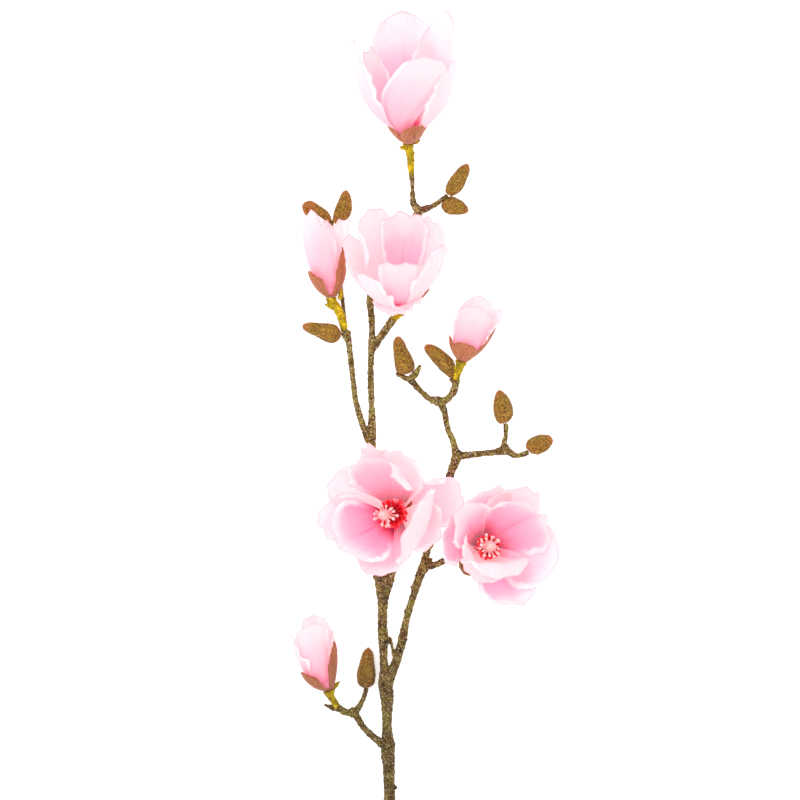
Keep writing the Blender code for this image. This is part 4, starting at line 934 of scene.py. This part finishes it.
def smoothPath(stations, stretch=2.0):
    # rows of x, y, z and radius on a smooth curve through the stations, all in millimetres
    rows = [np.array(station, float) for station in stations]
    rows = [2 * rows[0] - rows[1], *rows, 2 * rows[-1] - rows[-2]]
    path = []
    for index in range(1, len(rows) - 2):
        first, second, third, fourth = rows[index - 1 : index + 3]
        parts = max(1, math.ceil(np.linalg.norm(third[:3] - second[:3]) / stretch))
        for part in range(parts):
            t = part / parts
            bend = 2 * first - 5 * second + 4 * third - fourth
            twist = 3 * second - first - 3 * third + fourth
            path.append(0.5 * (2 * second + (third - first) * t + bend * t**2 + twist * t**3))
    path.append(rows[-2])
    return path


def stationsOf(points):
    return [(*(onSheet(*point[:3]) / mm), point[3]) for point in points]


def leafBudPath(root, tip, radius):
    # a small pointed bud, from its root and tip on the sheet and its greatest radius
    ends = [np.array(onSheet(*place)) / mm for place in (root, tip)]
    shape = ((0, 0.6), (0.25, 0.95), (0.45, 1.0), (0.75, 0.62), (1.0, 0.12))
    return [np.array([*(ends[0] + (ends[1] - ends[0]) * share), radius * size]) for share, size in shape]


def knotPath(across, down, height, radius):
    # a short upright limb, which becomes a knot once it is fused with the others
    middle = np.array(onSheet(across, down, height)) / mm
    steps = ((-0.8, 0.6), (0, 1.0), (0.8, 0.6))
    return [np.array([*(middle + (0, 0, step * radius)), radius * size]) for step, size in steps]


def pathsObject(name, paths):
    # one mesh of bare edges, with each point's radius as its width
    points, edges, widths = [], [], []
    for path in paths:
        first = len(points)
        points += [tuple(row[:3] * mm) for row in path]
        widths += [max(row[3], 0.05) * mm for row in path]
        edges += [(place, place + 1) for place in range(first, len(points) - 1)]
    mesh = bpy.data.meshes.new(name)
    mesh.from_pydata(points, edges, [])
    addAttribute(mesh, "width", widths)
    return makeObject(name, mesh)


def grown(name, paths, look, finish):
    # limbs made from their paths, fused where they meet, then given their skin
    obj = pathsObject(name, paths)
    setInputs(obj, limb, look["limb"])
    fused = obj.modifiers.new("Fused", "REMESH")
    fused.mode = "VOXEL"
    fused.voxel_size = look["voxel"]
    soft = obj.modifiers.new("Softened", "SMOOTH")
    soft.factor = 0.5
    soft.iterations = 2
    setInputs(obj, bark, {**look["bark"], "Finish": finish})
    return baked(obj)


# branch: each limb's stations, across and down the sheet, height and radius
limbs = {
    "main stem": (
        (390, 858, 5.8, 5.7), (389.6, 800, 6.6, 5.6), (389.2, 785, 7.3, 5.6), (388.8, 767.5, 8.2, 6),
        (387.9, 755, 9.5, 6.7), (388, 744, 10.5, 6.9), (387.2, 733, 11.3, 5), (387, 715, 12.5, 5),
        (387.2, 702, 13.3, 6.2), (386.4, 692, 14, 7), (385.3, 683, 14.6, 7.2), (384.2, 671, 15.4, 4.5),
        (383.6, 660, 16, 3.9), (383.3, 648, 16.8, 4.2), (383.1, 637, 17.5, 5.4), (382.5, 626, 18.3, 4.7),
        (382.5, 614, 19.2, 4.9), (382.9, 601, 20, 5.6), (383.2, 592.5, 20.5, 6.9), (383.8, 582.5, 21, 9),
        (382, 562, 21.5, 5.6), (379, 520, 22.5, 4.6), (374, 470, 23.5, 4.2), (371.9, 445, 24, 4),
        (371.6, 434, 24.3, 4.6), (372, 416.7, 25, 3.4), (371.5, 400, 25.6, 3), (370.8, 384, 26.3, 3.3),
        (370.8, 366, 27.5, 2.9), (371.2, 350, 28, 3.2), (372, 334, 28.7, 3.1), (371.8, 322, 29.2, 3),
        (370.6, 308, 30.2, 3.3), (370, 300, 30.7, 3.4), (375, 280, 32, 3.5), (390, 250, 34.5, 3.5),
        (408, 226, 37.5, 3.9), (418.5, 212.5, 39.3, 4.4), (413.8, 204.5, 40.2, 3.3), (412.6, 196, 41, 2.6),
        (412.4, 184, 42, 2.2), (411.5, 174.5, 42.6, 2.9),
    ),
    "right arm": (
        (386, 694, 13.5, 5.2), (389, 681, 14.3, 5.2), (392.3, 671, 15, 4.8), (396.8, 660, 15.6, 4.4),
        (400.4, 647.5, 16.3, 4.3), (402.5, 639, 16.8, 4.6), (405.8, 622.5, 17.4, 3.5), (409, 610, 17.8, 3.5),
        (413, 597.5, 18.3, 3.5), (416.5, 586, 18.8, 3.9), (420.3, 574.6, 19.2, 4.4), (424, 566.5, 19.8, 5),
        (425.6, 557, 20, 3.6), (427.6, 549, 20, 3.4), (431, 543.5, 20, 3.1), (436, 530, 20, 3.4),
        (443, 505, 20, 3.8), (450.7, 473, 20.5, 3.9), (453.8, 465.5, 20.8, 4.2), (457.5, 455.5, 21, 5.6),
    ),
    "open left bloom's shoot": (
        (385.5, 583, 20, 6.5), (391.5, 571, 20.8, 5), (395.5, 559, 21.7, 4.3), (396.5, 541, 23, 4.2),
        (396.5, 524, 26.5, 4.2),
    ),
    "open right bloom's shoot": (
        (424.5, 566, 20, 4.2), (432, 565.5, 20.5, 3.3), (438, 563.8, 21.5, 3.1), (445.8, 560.2, 23, 3.5),
        (457, 557.5, 26, 3.4), (471, 555, 29, 3.6),
    ),
    "spur beside the open right bloom's shoot": (
        (428.5, 565, 20, 1.8), (430.8, 560.5, 20, 1.5), (432, 557.8, 20, 1),
    ),
    "upper left bloom's shoot": (
        (371, 444, 24, 3.6), (366.5, 436, 24.5, 3.3), (360.5, 418, 25, 3.1), (355.4, 400, 26, 2.8),
        (353.4, 383, 26.5, 2.6), (351, 362, 27, 3), (348.8, 343, 28.3, 2.9), (345.8, 334.5, 28.9, 4.6),
        (344.5, 330.5, 29, 3.6),
    ),
    "shoot under the upper left bloom": (
        (350, 352, 26.6, 1.7), (346, 334, 19, 2), (343, 305, 5, 1.9), (338, 268, 1.9, 1.9),
        (333, 242, 3.5, 1.9), (331, 228, 9, 2.4), (331, 222, 14, 3.2),
    ),
    "middle bloom's shoot": (
        (371.5, 351, 28, 3.3), (377, 342, 29, 3.7), (385.5, 330, 30, 3.8), (393.3, 319, 32, 4),
    ),
    "top right shoot": (
        (418.5, 211.5, 39.4, 3.6), (426, 208.8, 39.5, 3.3), (433, 206, 39.5, 2.7), (440, 201, 39.5, 2.3),
        (447.3, 195, 39.5, 2.1),
    ),
    "right arm's left shoot": (
        (457, 458, 21, 4.2), (453, 441, 22, 3.1), (449.4, 433, 22.5, 2.9), (446.8, 425, 23, 2.9),
        (444.7, 413, 23.5, 3.1), (441.5, 404.5, 24, 4.2), (437.5, 401, 24, 5), (430, 399, 24, 3),
        (423.2, 393.5, 24, 2.7), (416.8, 387, 24, 2.9), (411.3, 380.5, 24, 3.6), (407.8, 376.5, 24, 3.4),
    ),
    "stub beside the middle bud": (
        (411, 381, 23.5, 2.5), (403, 376.8, 20, 2.3), (396.6, 372.6, 18, 2.4),
    ),
    "upper right bloom's shoot": (
        (438, 402, 24, 3.8), (446.7, 399.5, 25, 3.4), (453, 392.5, 26.2, 3.5), (455.8, 384, 27.8, 3.6),
        (456.3, 379.8, 28.7, 3.6),
    ),
    "right shoot": (
        (457, 456, 21, 4), (470, 454.8, 19, 3.3), (487, 453, 16, 3), (497, 451.8, 14.2, 3.6),
        (504.5, 450, 13, 5), (509, 452, 12.4, 3.6), (515.7, 455.5, 11.4, 2.6), (523, 454.5, 9.6, 2.6),
        (528.5, 452, 8.4, 2.6),
    ),
    "right upright shoot": (
        (503.5, 449, 13, 3.4), (504.5, 441, 13.5, 2.5), (506, 433, 14, 2.2), (505.8, 423.5, 14.6, 2.6),
    ),
    "lower left shoot": (
        (387, 747, 10.5, 4.8), (378.5, 741, 11, 3.8), (370.6, 734.4, 11.5, 3.3), (362.8, 726.5, 12, 3.3),
        (357.5, 717.5, 12.5, 3.6), (353.5, 713.2, 13, 4.4), (348, 712.5, 13.4, 3.6), (342.5, 710.8, 14, 3.4),
        (338.2, 707, 15, 3.5),
    ),
    "lower bud's shoot": (
        (353.5, 713, 12.5, 3.4), (358.5, 707.5, 12, 3.2), (362.8, 700, 11.6, 2.4), (365.6, 692, 11.2, 2.3),
        (366.1, 687.5, 11, 2.4),
    ),
    "snag in the fork": (
        (396.5, 660, 15.8, 2), (394, 655, 16, 1.8), (392.2, 648, 16.6, 1.4), (390.8, 641, 17.2, 1.5),
        (389.6, 637.5, 17.6, 1.2),
    ),
    "wedge beside the snag": (
        (386, 647, 17.2, 1.2), (387.3, 642, 17.4, 1.9), (386.8, 634, 17.8, 1.6),
    ),
}
# knots on the bark, told as stations are, and the small leaf buds that grow from it: root, tip and radius
knots = (
    (395.4, 787.5, 7.8, 2.2), (381.5, 742, 12, 3.6), (390.5, 700, 17, 3.6), (405.6, 611, 18, 2.2),
    (412.3, 587, 18.8, 2), (376, 577, 23, 3.4), (392, 580, 24, 3.2), (373.8, 418, 26.5, 2.2),
    (369, 372, 27.5, 2.2), (418, 211, 41.5, 3), (459.5, 453, 22, 3.2), (352.5, 709, 14, 2.2),
    (507, 446, 14.5, 2.4), (386.5, 639, 19, 2.6), (402.3, 640, 16.8, 5), (452.1, 380, 25.2, 2.8),
)

leafBuds = (
    ((411.5, 380, 25), (421.3, 364, 32), 3.4),
    ((341, 710.3, 11.3), (323.2, 704.6, 7), 2.9),
    ((348.6, 340, 28.5), (351.4, 329.3, 29), 0.9),
)

branchLook = dict(
    limb={"Step": 0.0007, "Sides": 22, "Ring height": 0.0004, "Rings per metre": 210.0, "Unevenness": 0.1,
          "Seed": 3.0},
    bark={"Lump height": 0.0009, "Grain height": 0.0006, "Warts per square metre": 16000.0,
          "Smallest wart": 0.00035, "Largest wart": 0.0011, "Seed": 4},
    voxel=0.0009,
)
barkFinish = dict(
    wood=[(0.38, "#190F07"), (0.46, "#422E14"), (0.53, "#6E5426"), (0.6, "#927A3E"), (0.7, "#C4AE74")],
    moss=[(0.35, "#45430E"), (0.5, "#827C28"), (0.65, "#B8B05A")],
    maroon=[(0.35, "#2E1210"), (0.6, "#6E3A2E")], pale="#DCC6A6", dark="#1E130C", wart="#B09A74",
    maroonSize=0.009, paleSize=0.0019, darkSize=0.0017,
)


def barkMaterial():
    look = barkFinish
    material, tree, shader = newMaterial("bark", Specular_IOR_Level=0.2)
    here = objectPlace(tree)
    fine = noiseOf(tree, here, 560.0, 3.0, 0.7)
    broad = noiseOf(tree, here, 120.0, 4.0, 0.7)
    tone = plus(tree, times(tree, broad, 0.45), times(tree, fine, 0.6))
    colour = rampOf(tree, tone, look["wood"])
    moss = noiseOf(tree, added(tree, here, (0.7, 2.3, 1.9)), 75.0, 3.0, 0.6)
    moss = spanned(tree, moss, 0.5, 0.66, 0.0, 0.65)
    colour = blended(tree, moss, colour, rampOf(tree, fine, look["moss"]))
    maroon = times(tree, specklesOf(tree, here, look["maroonSize"], amount=0.45), 0.7)
    colour = blended(tree, maroon, colour, rampOf(tree, fine, look["maroon"]))
    colour = painted(tree, colour, specklesOf(tree, here, look["paleSize"], 0.06), look["pale"], 0.6)
    dark = specklesOf(tree, added(tree, here, (3.1, 1.7, 0.4)), look["darkSize"], 0.08)
    colour = painted(tree, colour, dark, look["dark"], 0.8)
    colour = painted(tree, colour, attributeOf(tree, "wart"), look["wart"], 0.5)
    # painted shade darkens the lower end, and painted light brightens the upper end
    coloured(tree, shader, here, colour, 0.66, 1.12)
    tree.links.new(spanned(tree, fine, 0.3, 0.7, 0.62, 0.9), shader.inputs["Roughness"])
    bumped(tree, shader, plus(tree, fine, times(tree, dark, -0.4)), 0.8, 0.0006)
    return material


print("branch")
paths = [smoothPath(stationsOf(points)) for points in limbs.values()]
paths += [knotPath(*knot) for knot in knots] + [leafBudPath(*bud) for bud in leafBuds]
handOver(grown("branchBark", paths, branchLook, barkMaterial()), "branch")


# furry buds: stations as on the limbs, from the shoot to the tip
buds = {
    "bud_top_upper": ((448.7, 194.4, 39.4, 3.4), (451.5, 190, 39.7, 6.4), (456, 184, 40, 7.6),
                      (461, 175.5, 41, 6.4), (465, 169, 42, 4.8), (466.6, 166.2, 42.3, 2.8)),
    "bud_top_lower": ((442.5, 203.4, 36.2, 3.6), (445.5, 204, 35.5, 7), (450, 205.2, 34.5, 8.3),
                      (456.5, 206.8, 33.5, 7.8), (461.5, 208.6, 33, 6.2), (464.8, 209.8, 33, 4)),
    "bud_left_arched": ((329.6, 220.6, 14.5, 2.2), (324.8, 214.9, 18, 4.1), (317.5, 209.6, 20, 4.2),
                        (311, 205.6, 20, 4.5), (306.4, 206.2, 19, 4), (306.6, 211.5, 17.5, 2.8),
                        (308.8, 215.8, 17, 1.1)),
    "bud_left_upright": ((334.7, 222.2, 15.1, 2.8), (339.5, 217, 17, 6.6), (343, 211, 18.5, 7.8),
                         (344.9, 203, 20, 6.6), (345.5, 196, 21, 4.9), (345.7, 193.4, 21.3, 3.4)),
    "bud_left_side": ((340.3, 334.6, 29, 3.2), (335.5, 334.2, 29, 8.2), (328.5, 332.8, 29, 9),
                      (317.5, 329.6, 28, 6.6), (308.5, 327.4, 27, 4.8), (305.2, 326.6, 26.8, 3.2)),
    "bud_middle": ((406.8, 373.4, 24, 3.6), (406, 370.4, 24.2, 8.2), (404, 362.5, 25, 9.2),
                   (400.5, 351, 26, 7), (398.6, 342.5, 27, 5.2), (398.3, 339.4, 27.3, 3.4)),
    "bud_right_low": ((451.9, 376.9, 25.7, 2.6), (450.5, 371.3, 27.2, 6), (445.5, 363.8, 28, 8),
                      (437, 355.3, 29, 6.9), (430.5, 349.8, 30, 5.3), (427.6, 347.6, 30.3, 3.6)),
    "bud_right_upright": ((505, 422.3, 14.7, 4.2), (504, 418.8, 15, 7.8), (503.4, 411.5, 15.5, 9.3),
                          (501.8, 402, 16.5, 7.8), (500.3, 396, 17, 5.6), (499.8, 393.8, 17.2, 4)),
    "bud_right_end": ((529.2, 450.5, 8.9, 4.4), (532.5, 447.5, 8.9, 8), (537.5, 445, 8.9, 8.8),
                      (543.5, 442.5, 8.8, 8.3), (547.5, 440.6, 8.8, 6)),
    "bud_lower": ((366, 687.1, 10.9, 3.4), (366, 683.5, 10.8, 7.4), (366.3, 674.5, 10.5, 9),
                  (367.2, 662, 10, 6.8), (368, 653, 10, 4.8), (368.2, 650, 10, 2.6)),
}
budLook = dict(
    limb={"Step": 0.0009, "Sides": 26, "Ring height": 0.0, "Rings per metre": 1.0, "Unevenness": 0.1,
          "Seed": 5.0},
    flock={"Fibres per square metre": 2300000.0, "Fibre length": 0.0012, "Fibre width": 0.0002, "Lean": 0.75},
    tip=((0.45, 0.75), (0.75, 0.35), (0.85, 0.08)),  # past the last point and thickness, in its radii
    stretch=1.2, seed=20,
)
budFinish = dict(
    coat=[(0.3, "#4E3C08"), (0.42, "#886416"), (0.52, "#A97E20"), (0.64, "#C8942C"), (0.8, "#DAA63C")],
    tufts=[(0.0, "#2E2206"), (0.14, "#7A3414"), (0.28, "#9A6A1C"), (0.45, "#80741A"), (0.6, "#C4982A"),
           (0.75, "#A86A28"), (0.88, "#E2B850"), (1.0, "#5E4610")],
    rust="#B8662C", patches=400.0, tuftsPerMetre=980.0,
)


def budMaterial():
    look = budFinish
    material, tree, shader = newMaterial("bud flock", Roughness=0.95, Sheen_Weight=0.12, Sheen_Roughness=0.6)
    here, shade = objectPlace(tree), attributeOf(tree, "shade")
    patch = noiseOf(tree, here, look["patches"], 3.0, 0.6)
    tone = plus(tree, times(tree, patch, 0.6), times(tree, shade, 0.4))
    tuft = addNode(tree, "ShaderNodeTexVoronoi", {"Vector": here, "Scale": look["tuftsPerMetre"]})
    pick = partsOf(tree, tuft.outputs["Color"])["X"]
    colour = blended(tree, 0.85, rampOf(tree, tone, look["coat"]), rampOf(tree, pick, look["tufts"]))
    colour = painted(tree, colour, attributeOf(tree, "rust"), look["rust"], 0.6)
    # painted shade darkens the lower end
    coloured(tree, shader, here, colour, 0.62, 1.0)
    bumped(tree, shader, shade, 0.3, 0.0003)
    return material


def makeBud(name, points, material, seed):
    stations = stationsOf(points)
    before, last = np.array(stations[-2]), np.array(stations[-1])
    way = (last - before)[:3]
    way /= np.linalg.norm(way)
    for step, size in budLook["tip"]:
        stations.append((*(last[:3] + way * step * last[3]), last[3] * size))
    obj = pathsObject(name, [smoothPath(stations, budLook["stretch"])])
    setInputs(obj, limb, budLook["limb"])
    first, span = np.array(stations[0][:3]), np.array(stations[-1][:3]) - np.array(stations[0][:3])
    tipWay = span / np.linalg.norm(span)
    own = {"Tip direction": tuple(tipWay), "Seed": seed, "Finish": material}
    setInputs(obj, flock, {**budLook["flock"], **own})
    obj = baked(obj)
    places = np.empty(len(obj.data.vertices) * 3)
    obj.data.vertices.foreach_get("co", places)
    share = (places.reshape(-1, 3) / mm - first) @ tipWay / (span @ tipWay)
    addAttribute(obj.data, "rust", eased(0.72, 1.0, share) + eased(0.12, 0.0, share) * 0.6)  # both ends
    return obj


print("buds")
budFlock = budMaterial()
for number, (node, points) in enumerate(buds.items()):
    handOver(makeBud(plainName(node), points, budFlock, budLook["seed"] + number), node)


# stalks
stalkLook = dict(
    limb={"Step": 0.0005, "Sides": 22, "Ring height": 0.00045, "Rings per metre": 260.0, "Unevenness": 0.1,
          "Seed": 8.0},
    bark={"Lump height": 0.0005, "Grain height": 0.00025, "Warts per square metre": 9000.0,
          "Smallest wart": 0.0002, "Largest wart": 0.0006, "Seed": 6},
    voxel=0.0006, stretch=0.8,
    root=((-0.6, 0.8), (1.2, 0.97)),  # place along the shoot's end, and share of its radius
    collar=((-9.5, 4.3), (-8.6, 5.4), (-7.9, 4.9), (-7.0, 5.8), (-6.3, 5.4), (-5.6, 5.9)),  # height, radius
)
stalkFinish = dict(
    green=[(0.36, "#5E4F06"), (0.46, "#947C08"), (0.56, "#C8A80C"), (0.68, "#E8CC26")],
    brown="#69451A", wart="#CDB63E", brownSize=0.0022,
)
# small leaf buds on the stalks: root, then tip, and the greatest radius
stalkBuds = {
    "top_bloom": (
        ((404.5, 149, 41.5), (399.5, 146.5, 45), 1.9), ((414.5, 143.5, 41), (420.5, 139.5, 43), 2.0),
    ),
    "upper_left_bloom": (
        ((339.5, 300, 30), (341.7, 287.5, 32), 2.2), ((335, 309, 30), (324.2, 303.7, 30.5), 2.3),
    ),
    "lower_left_bloom": (((332.5, 689.5, 20), (340, 680.6, 21), 2.3),),
    "upper_right_bloom": (((457, 369, 35), (452.5, 366.5, 36), 1.4),),
}


def stalkMaterial():
    look = stalkFinish
    material, tree, shader = newMaterial("green stalk", Roughness=0.6, Specular_IOR_Level=0.2)
    here = objectPlace(tree)
    broad, fine = noiseOf(tree, here, 190.0, 3.0, 0.6), noiseOf(tree, here, 800.0)
    tone = plus(tree, times(tree, broad, 0.6), times(tree, fine, 0.4))
    colour = rampOf(tree, tone, look["green"])
    colour = painted(tree, colour, specklesOf(tree, here, look["brownSize"]), look["brown"], 0.75)
    colour = painted(tree, colour, attributeOf(tree, "wart"), look["wart"], 0.4)
    # painted shade darkens the lower end, and painted light brightens the upper end
    coloured(tree, shader, here, colour, 0.74, 1.12)
    bumped(tree, shader, tone, 0.5, 0.0005)
    return material


def makeStalk(node, bloom, finish):
    base, axis, _, _ = bloomAxes(bloom)
    shoot = stationsOf(limbs[bloom["shoot"]])
    before, end = np.array(shoot[-2][:3]), np.array(shoot[-1][:3])
    along = (end - before) / np.linalg.norm(end - before)
    # it starts a little inside the end of its shoot
    path = [(*(end + along * step), shoot[-1][3] * size) for step, size in stalkLook["root"]]
    path += stationsOf(bloom["stalk"])
    path += [(*(base / mm + axis * height), radius) for height, radius in stalkLook["collar"]]
    paths = [smoothPath(path, stalkLook["stretch"])] + [leafBudPath(*bud) for bud in stalkBuds.get(node, ())]
    return grown(plainName(node) + "Stalk", paths, stalkLook, finish)


# stamens and pistils: lengths in millimetres along and from a bloom's axis
stamenLook = dict(
    count=110, bottom=7.0, top=17.0, rootRadius=4.6, rise=6.5, thickness=1.05, hook=0.12, seed=40,
    pastReach=1.6,  # how much further they reach than their bloom says
    profile=((6.3, 4.8), (8, 6.0), (12, 6.2), (15, 6.0), (17.2, 4.6), (17.5, 2.0)),
    red=[(0.0, "#9C0614"), (0.4, "#D80E20"), (0.75, "#F41C2C"), (1.0, "#FA4450")],
    # glow is painted light: the stamens' emission strength
    pink=[(0.0, "#E0528A"), (0.5, "#F0709C"), (1.0, "#F890B0")], paleTip="#F8B8BC", glow=0.12,
)
pistilLook = dict(
    count=19, bottom=21.0, top=31.0, rootRadius=3.8, rise=3.0, thickness=1.3, hook=0.34, reach=14.8, seed=60,
    profile=((17.8, 4.6), (20, 5.2), (24, 5.7), (29, 5.6), (32.5, 4.7), (34.8, 3.0), (36, 0.3)),
    body=[(0.3, "#F0A8A6"), (0.55, "#F8BFBC"), (0.75, "#FCD2CD")],
    threads=[(0.0, "#E86A76"), (0.3, "#F4A6A9"), (0.7, "#FAC4C4"), (1.0, "#FCD6D4")],
    aside={"open_left_bloom": (-4.5, -1), "open_right_bloom": (-3, 1)},  # how far off the axis it stands
)


def stamenMaterial(name, stops):
    # the stamens glow a little in their own colour: painted light
    material, tree, shader = newMaterial(name, Roughness=0.42, Emission_Strength=stamenLook["glow"])
    along = attributeOf(tree, "along")
    pale = spanned(tree, attributeOf(tree, "shade"), 0.86, 0.9)  # about one in eight has a pale tip
    pale = times(tree, pale, spanned(tree, along, 0.4, 0.9, 0.0, 0.8))
    colour = painted(tree, rampOf(tree, along, stops), pale, stamenLook["paleTip"])
    tree.links.new(colour, shader.inputs["Base Color"])
    tree.links.new(colour, shader.inputs["Emission Color"])
    bumped(tree, shader, noiseOf(tree, objectPlace(tree), 1500.0), 0.4, 0.0003)
    return material


def pistilMaterial():
    material, tree, shader = newMaterial("pistil", Roughness=0.45, Subsurface_Weight=0.1,
                                         Subsurface_Scale=0.002)
    along, here = attributeOf(tree, "along"), objectPlace(tree)
    bodyTone = rampOf(tree, noiseOf(tree, here, 420.0), pistilLook["body"])
    threadTone = rampOf(tree, along, pistilLook["threads"])
    colour = blended(tree, spanned(tree, along, 0.0, 0.05), bodyTone, threadTone)
    tree.links.new(colour, shader.inputs["Base Color"])
    bumped(tree, shader, noiseOf(tree, here, 900.0), 0.4, 0.0004)
    return material


def makeSpray(name, bloom, look, reach, number, finish, aside=(0, 0)):
    # built in the bloom's own axes, then laid in place
    ownAxes = (np.zeros(3), np.array((0, 0, 1)), np.array((1, 0, 0)), np.array((0, 1, 0)))
    points, faces = lathed(ownAxes, look["profile"])
    mesh = bpy.data.meshes.new(name)
    mesh.from_pydata(points.tolist(), [], faces)
    obj = makeObject(name, mesh)
    lengths = {"Bottom": look["bottom"], "Top": look["top"], "Root radius": look["rootRadius"],
               "Reach": reach - look["rootRadius"], "Rise": look["rise"], "Thickness": look["thickness"]}
    setInputs(obj, spray, {label: length * mm for label, length in lengths.items()} | {
        "Count": look["count"], "Hook": look["hook"], "Seed": look["seed"] + number, "Finish": finish})
    obj = baked(obj)
    base, axis, front, side = bloomAxes(bloom)
    turn = np.eye(4)
    turn[:3] = np.column_stack([front, side, axis, base + np.array([*aside, 0]) * mm])
    obj.data.transform(Matrix(turn.tolist()))
    return obj


# blooms
bloomLook = dict(
    heart=((-2.6, 0.7), (0, 0.8), (4, 0.95), (5.8, 0.8), (6.0, 0.4)),  # height, share of the radius
    disc=((-5.2, 4.6), (-4.6, 5.8), (-3.6, 6.5), (-2.9, 6.2)),  # height, radius
    # where a bloom's petal tones start: a deep throat, dark with painted shade as well as its own colour,
    # starts low, a pale one does not
    start={"open_left_bloom": 0.0, "open_right_bloom": 0.03, "top_bloom": 0.14, "middle_bloom": 0.14},
    # an open bloom's heart takes the darkest throat tone, painted shade round the stamens
    closedStart=0.15, openTone=0.02, closedTone=0.14, greenBracts={"open_right_bloom": 0.15},
)


def makePetals(node, bloom):
    start = bloomLook["start"].get(node, bloomLook["closedStart"])
    tone = bloomLook["openTone" if bloom["open"] else "closedTone"]
    profile = [(height, bloom["heart"] * share) for height, share in bloomLook["heart"]]
    middle = dict(profile=profile, tone=tone, inner=float(bloom["open"]), start=start)
    name = plainName(node) + "Petals"
    return bladesPiece(name, bloom, bloom["petals"], blushes[node], petalLook, petalCloth, middle)


def makeBracts(node, bloom):
    scales = [bractBlade(bloom, bract) for bract in bloom["bracts"]]
    disc = dict(profile=bloomLook["disc"], tone=0.1, inner=0.0, start=0.0)
    brown = [bloomLook["greenBracts"].get(node, 1.0)] * len(scales)
    return bladesPiece(plainName(node) + "Bracts", bloom, scales, brown, bractLook, bractSuede, disc)


print("blooms")
petalCloth, bractSuede, greenStalk = petalMaterial(), bractMaterial(), stalkMaterial()
stamenRed = stamenMaterial("stamen", stamenLook["red"])
stamenPink = stamenMaterial("stamen in a cup", stamenLook["pink"])
pistilPink = pistilMaterial()
for number, (node, bloom) in enumerate(blooms.items()):
    handOver(makePetals(node, bloom), node + "_petals")
    handOver(makeBracts(node, bloom), node + "_bracts")
    handOver(makeStalk(node, bloom, greenStalk), node + "_stalk")
    if bloom["open"]:
        name, reach = plainName(node), bloom["reach"] + stamenLook["pastReach"]
        finish = stamenRed if node.startswith("open") else stamenPink
        piece = makeSpray(name + "Stamens", bloom, stamenLook, reach, number, finish)
        handOver(piece, node + "_stamens")
        aside = pistilLook["aside"].get(node, (0, 0))
        reach = pistilLook["reach"]
        piece = makeSpray(name + "Pistil", bloom, pistilLook, reach, number, pistilPink, aside)
        handOver(piece, node + "_pistil")


# floor, light and camera
stageLook = dict(floor="#FEFEFE", floorSize=6.0, floorGlow=0.45, world=1.2, key=13.0, keySize=1.6,
                 keyPlace=(-1.1, 1.2, 2.0), lens=135.0, sensor=36.0)
print("stage")
bpy.ops.mesh.primitive_plane_add(size=stageLook["floorSize"], location=(0, 0, 0))
floor = bpy.context.object
floor.name = "floor"
floorColour = tint(stageLook["floor"])
floorFinish, _, _ = newMaterial("floor", Roughness=0.9, Base_Color=floorColour, Emission_Color=floorColour,
                                Emission_Strength=stageLook["floorGlow"])
floor.data.materials.append(floorFinish)

world = bpy.data.worlds.new("studio")
bpy.context.scene.world = world
world.use_nodes = True
world.node_tree.nodes["Background"].inputs["Color"].default_value = (1, 1, 1, 1)
world.node_tree.nodes["Background"].inputs["Strength"].default_value = stageLook["world"]

lamp = bpy.data.lights.new("soft box", "AREA")
lamp.shape = "SQUARE"
lamp.size = stageLook["keySize"]
lamp.energy = stageLook["key"]
lampObject = makeObject("soft box", lamp)
lampObject.location = stageLook["keyPlace"]
lampObject.rotation_euler = (-lampObject.location).to_track_quat("-Z", "Y").to_euler()  # it faces the origin

camera = bpy.data.cameras.new("camera")
camera.lens = stageLook["lens"]
camera.sensor_width = stageLook["sensor"]
cameraObject = makeObject("camera", camera)
across, along = sheet["middle"] - sheet["branchMiddle"][0], sheet["branchMiddle"][1] - sheet["middle"]
cameraObject.location = (across * mm, along * mm, (sheet["eyeHeight"] + sheet["eyeLevel"]) * mm)
cameraObject.rotation_euler = (0, 0, 0)
bpy.context.scene.camera = cameraObject
bpy.context.scene.view_settings.view_transform = "Standard"
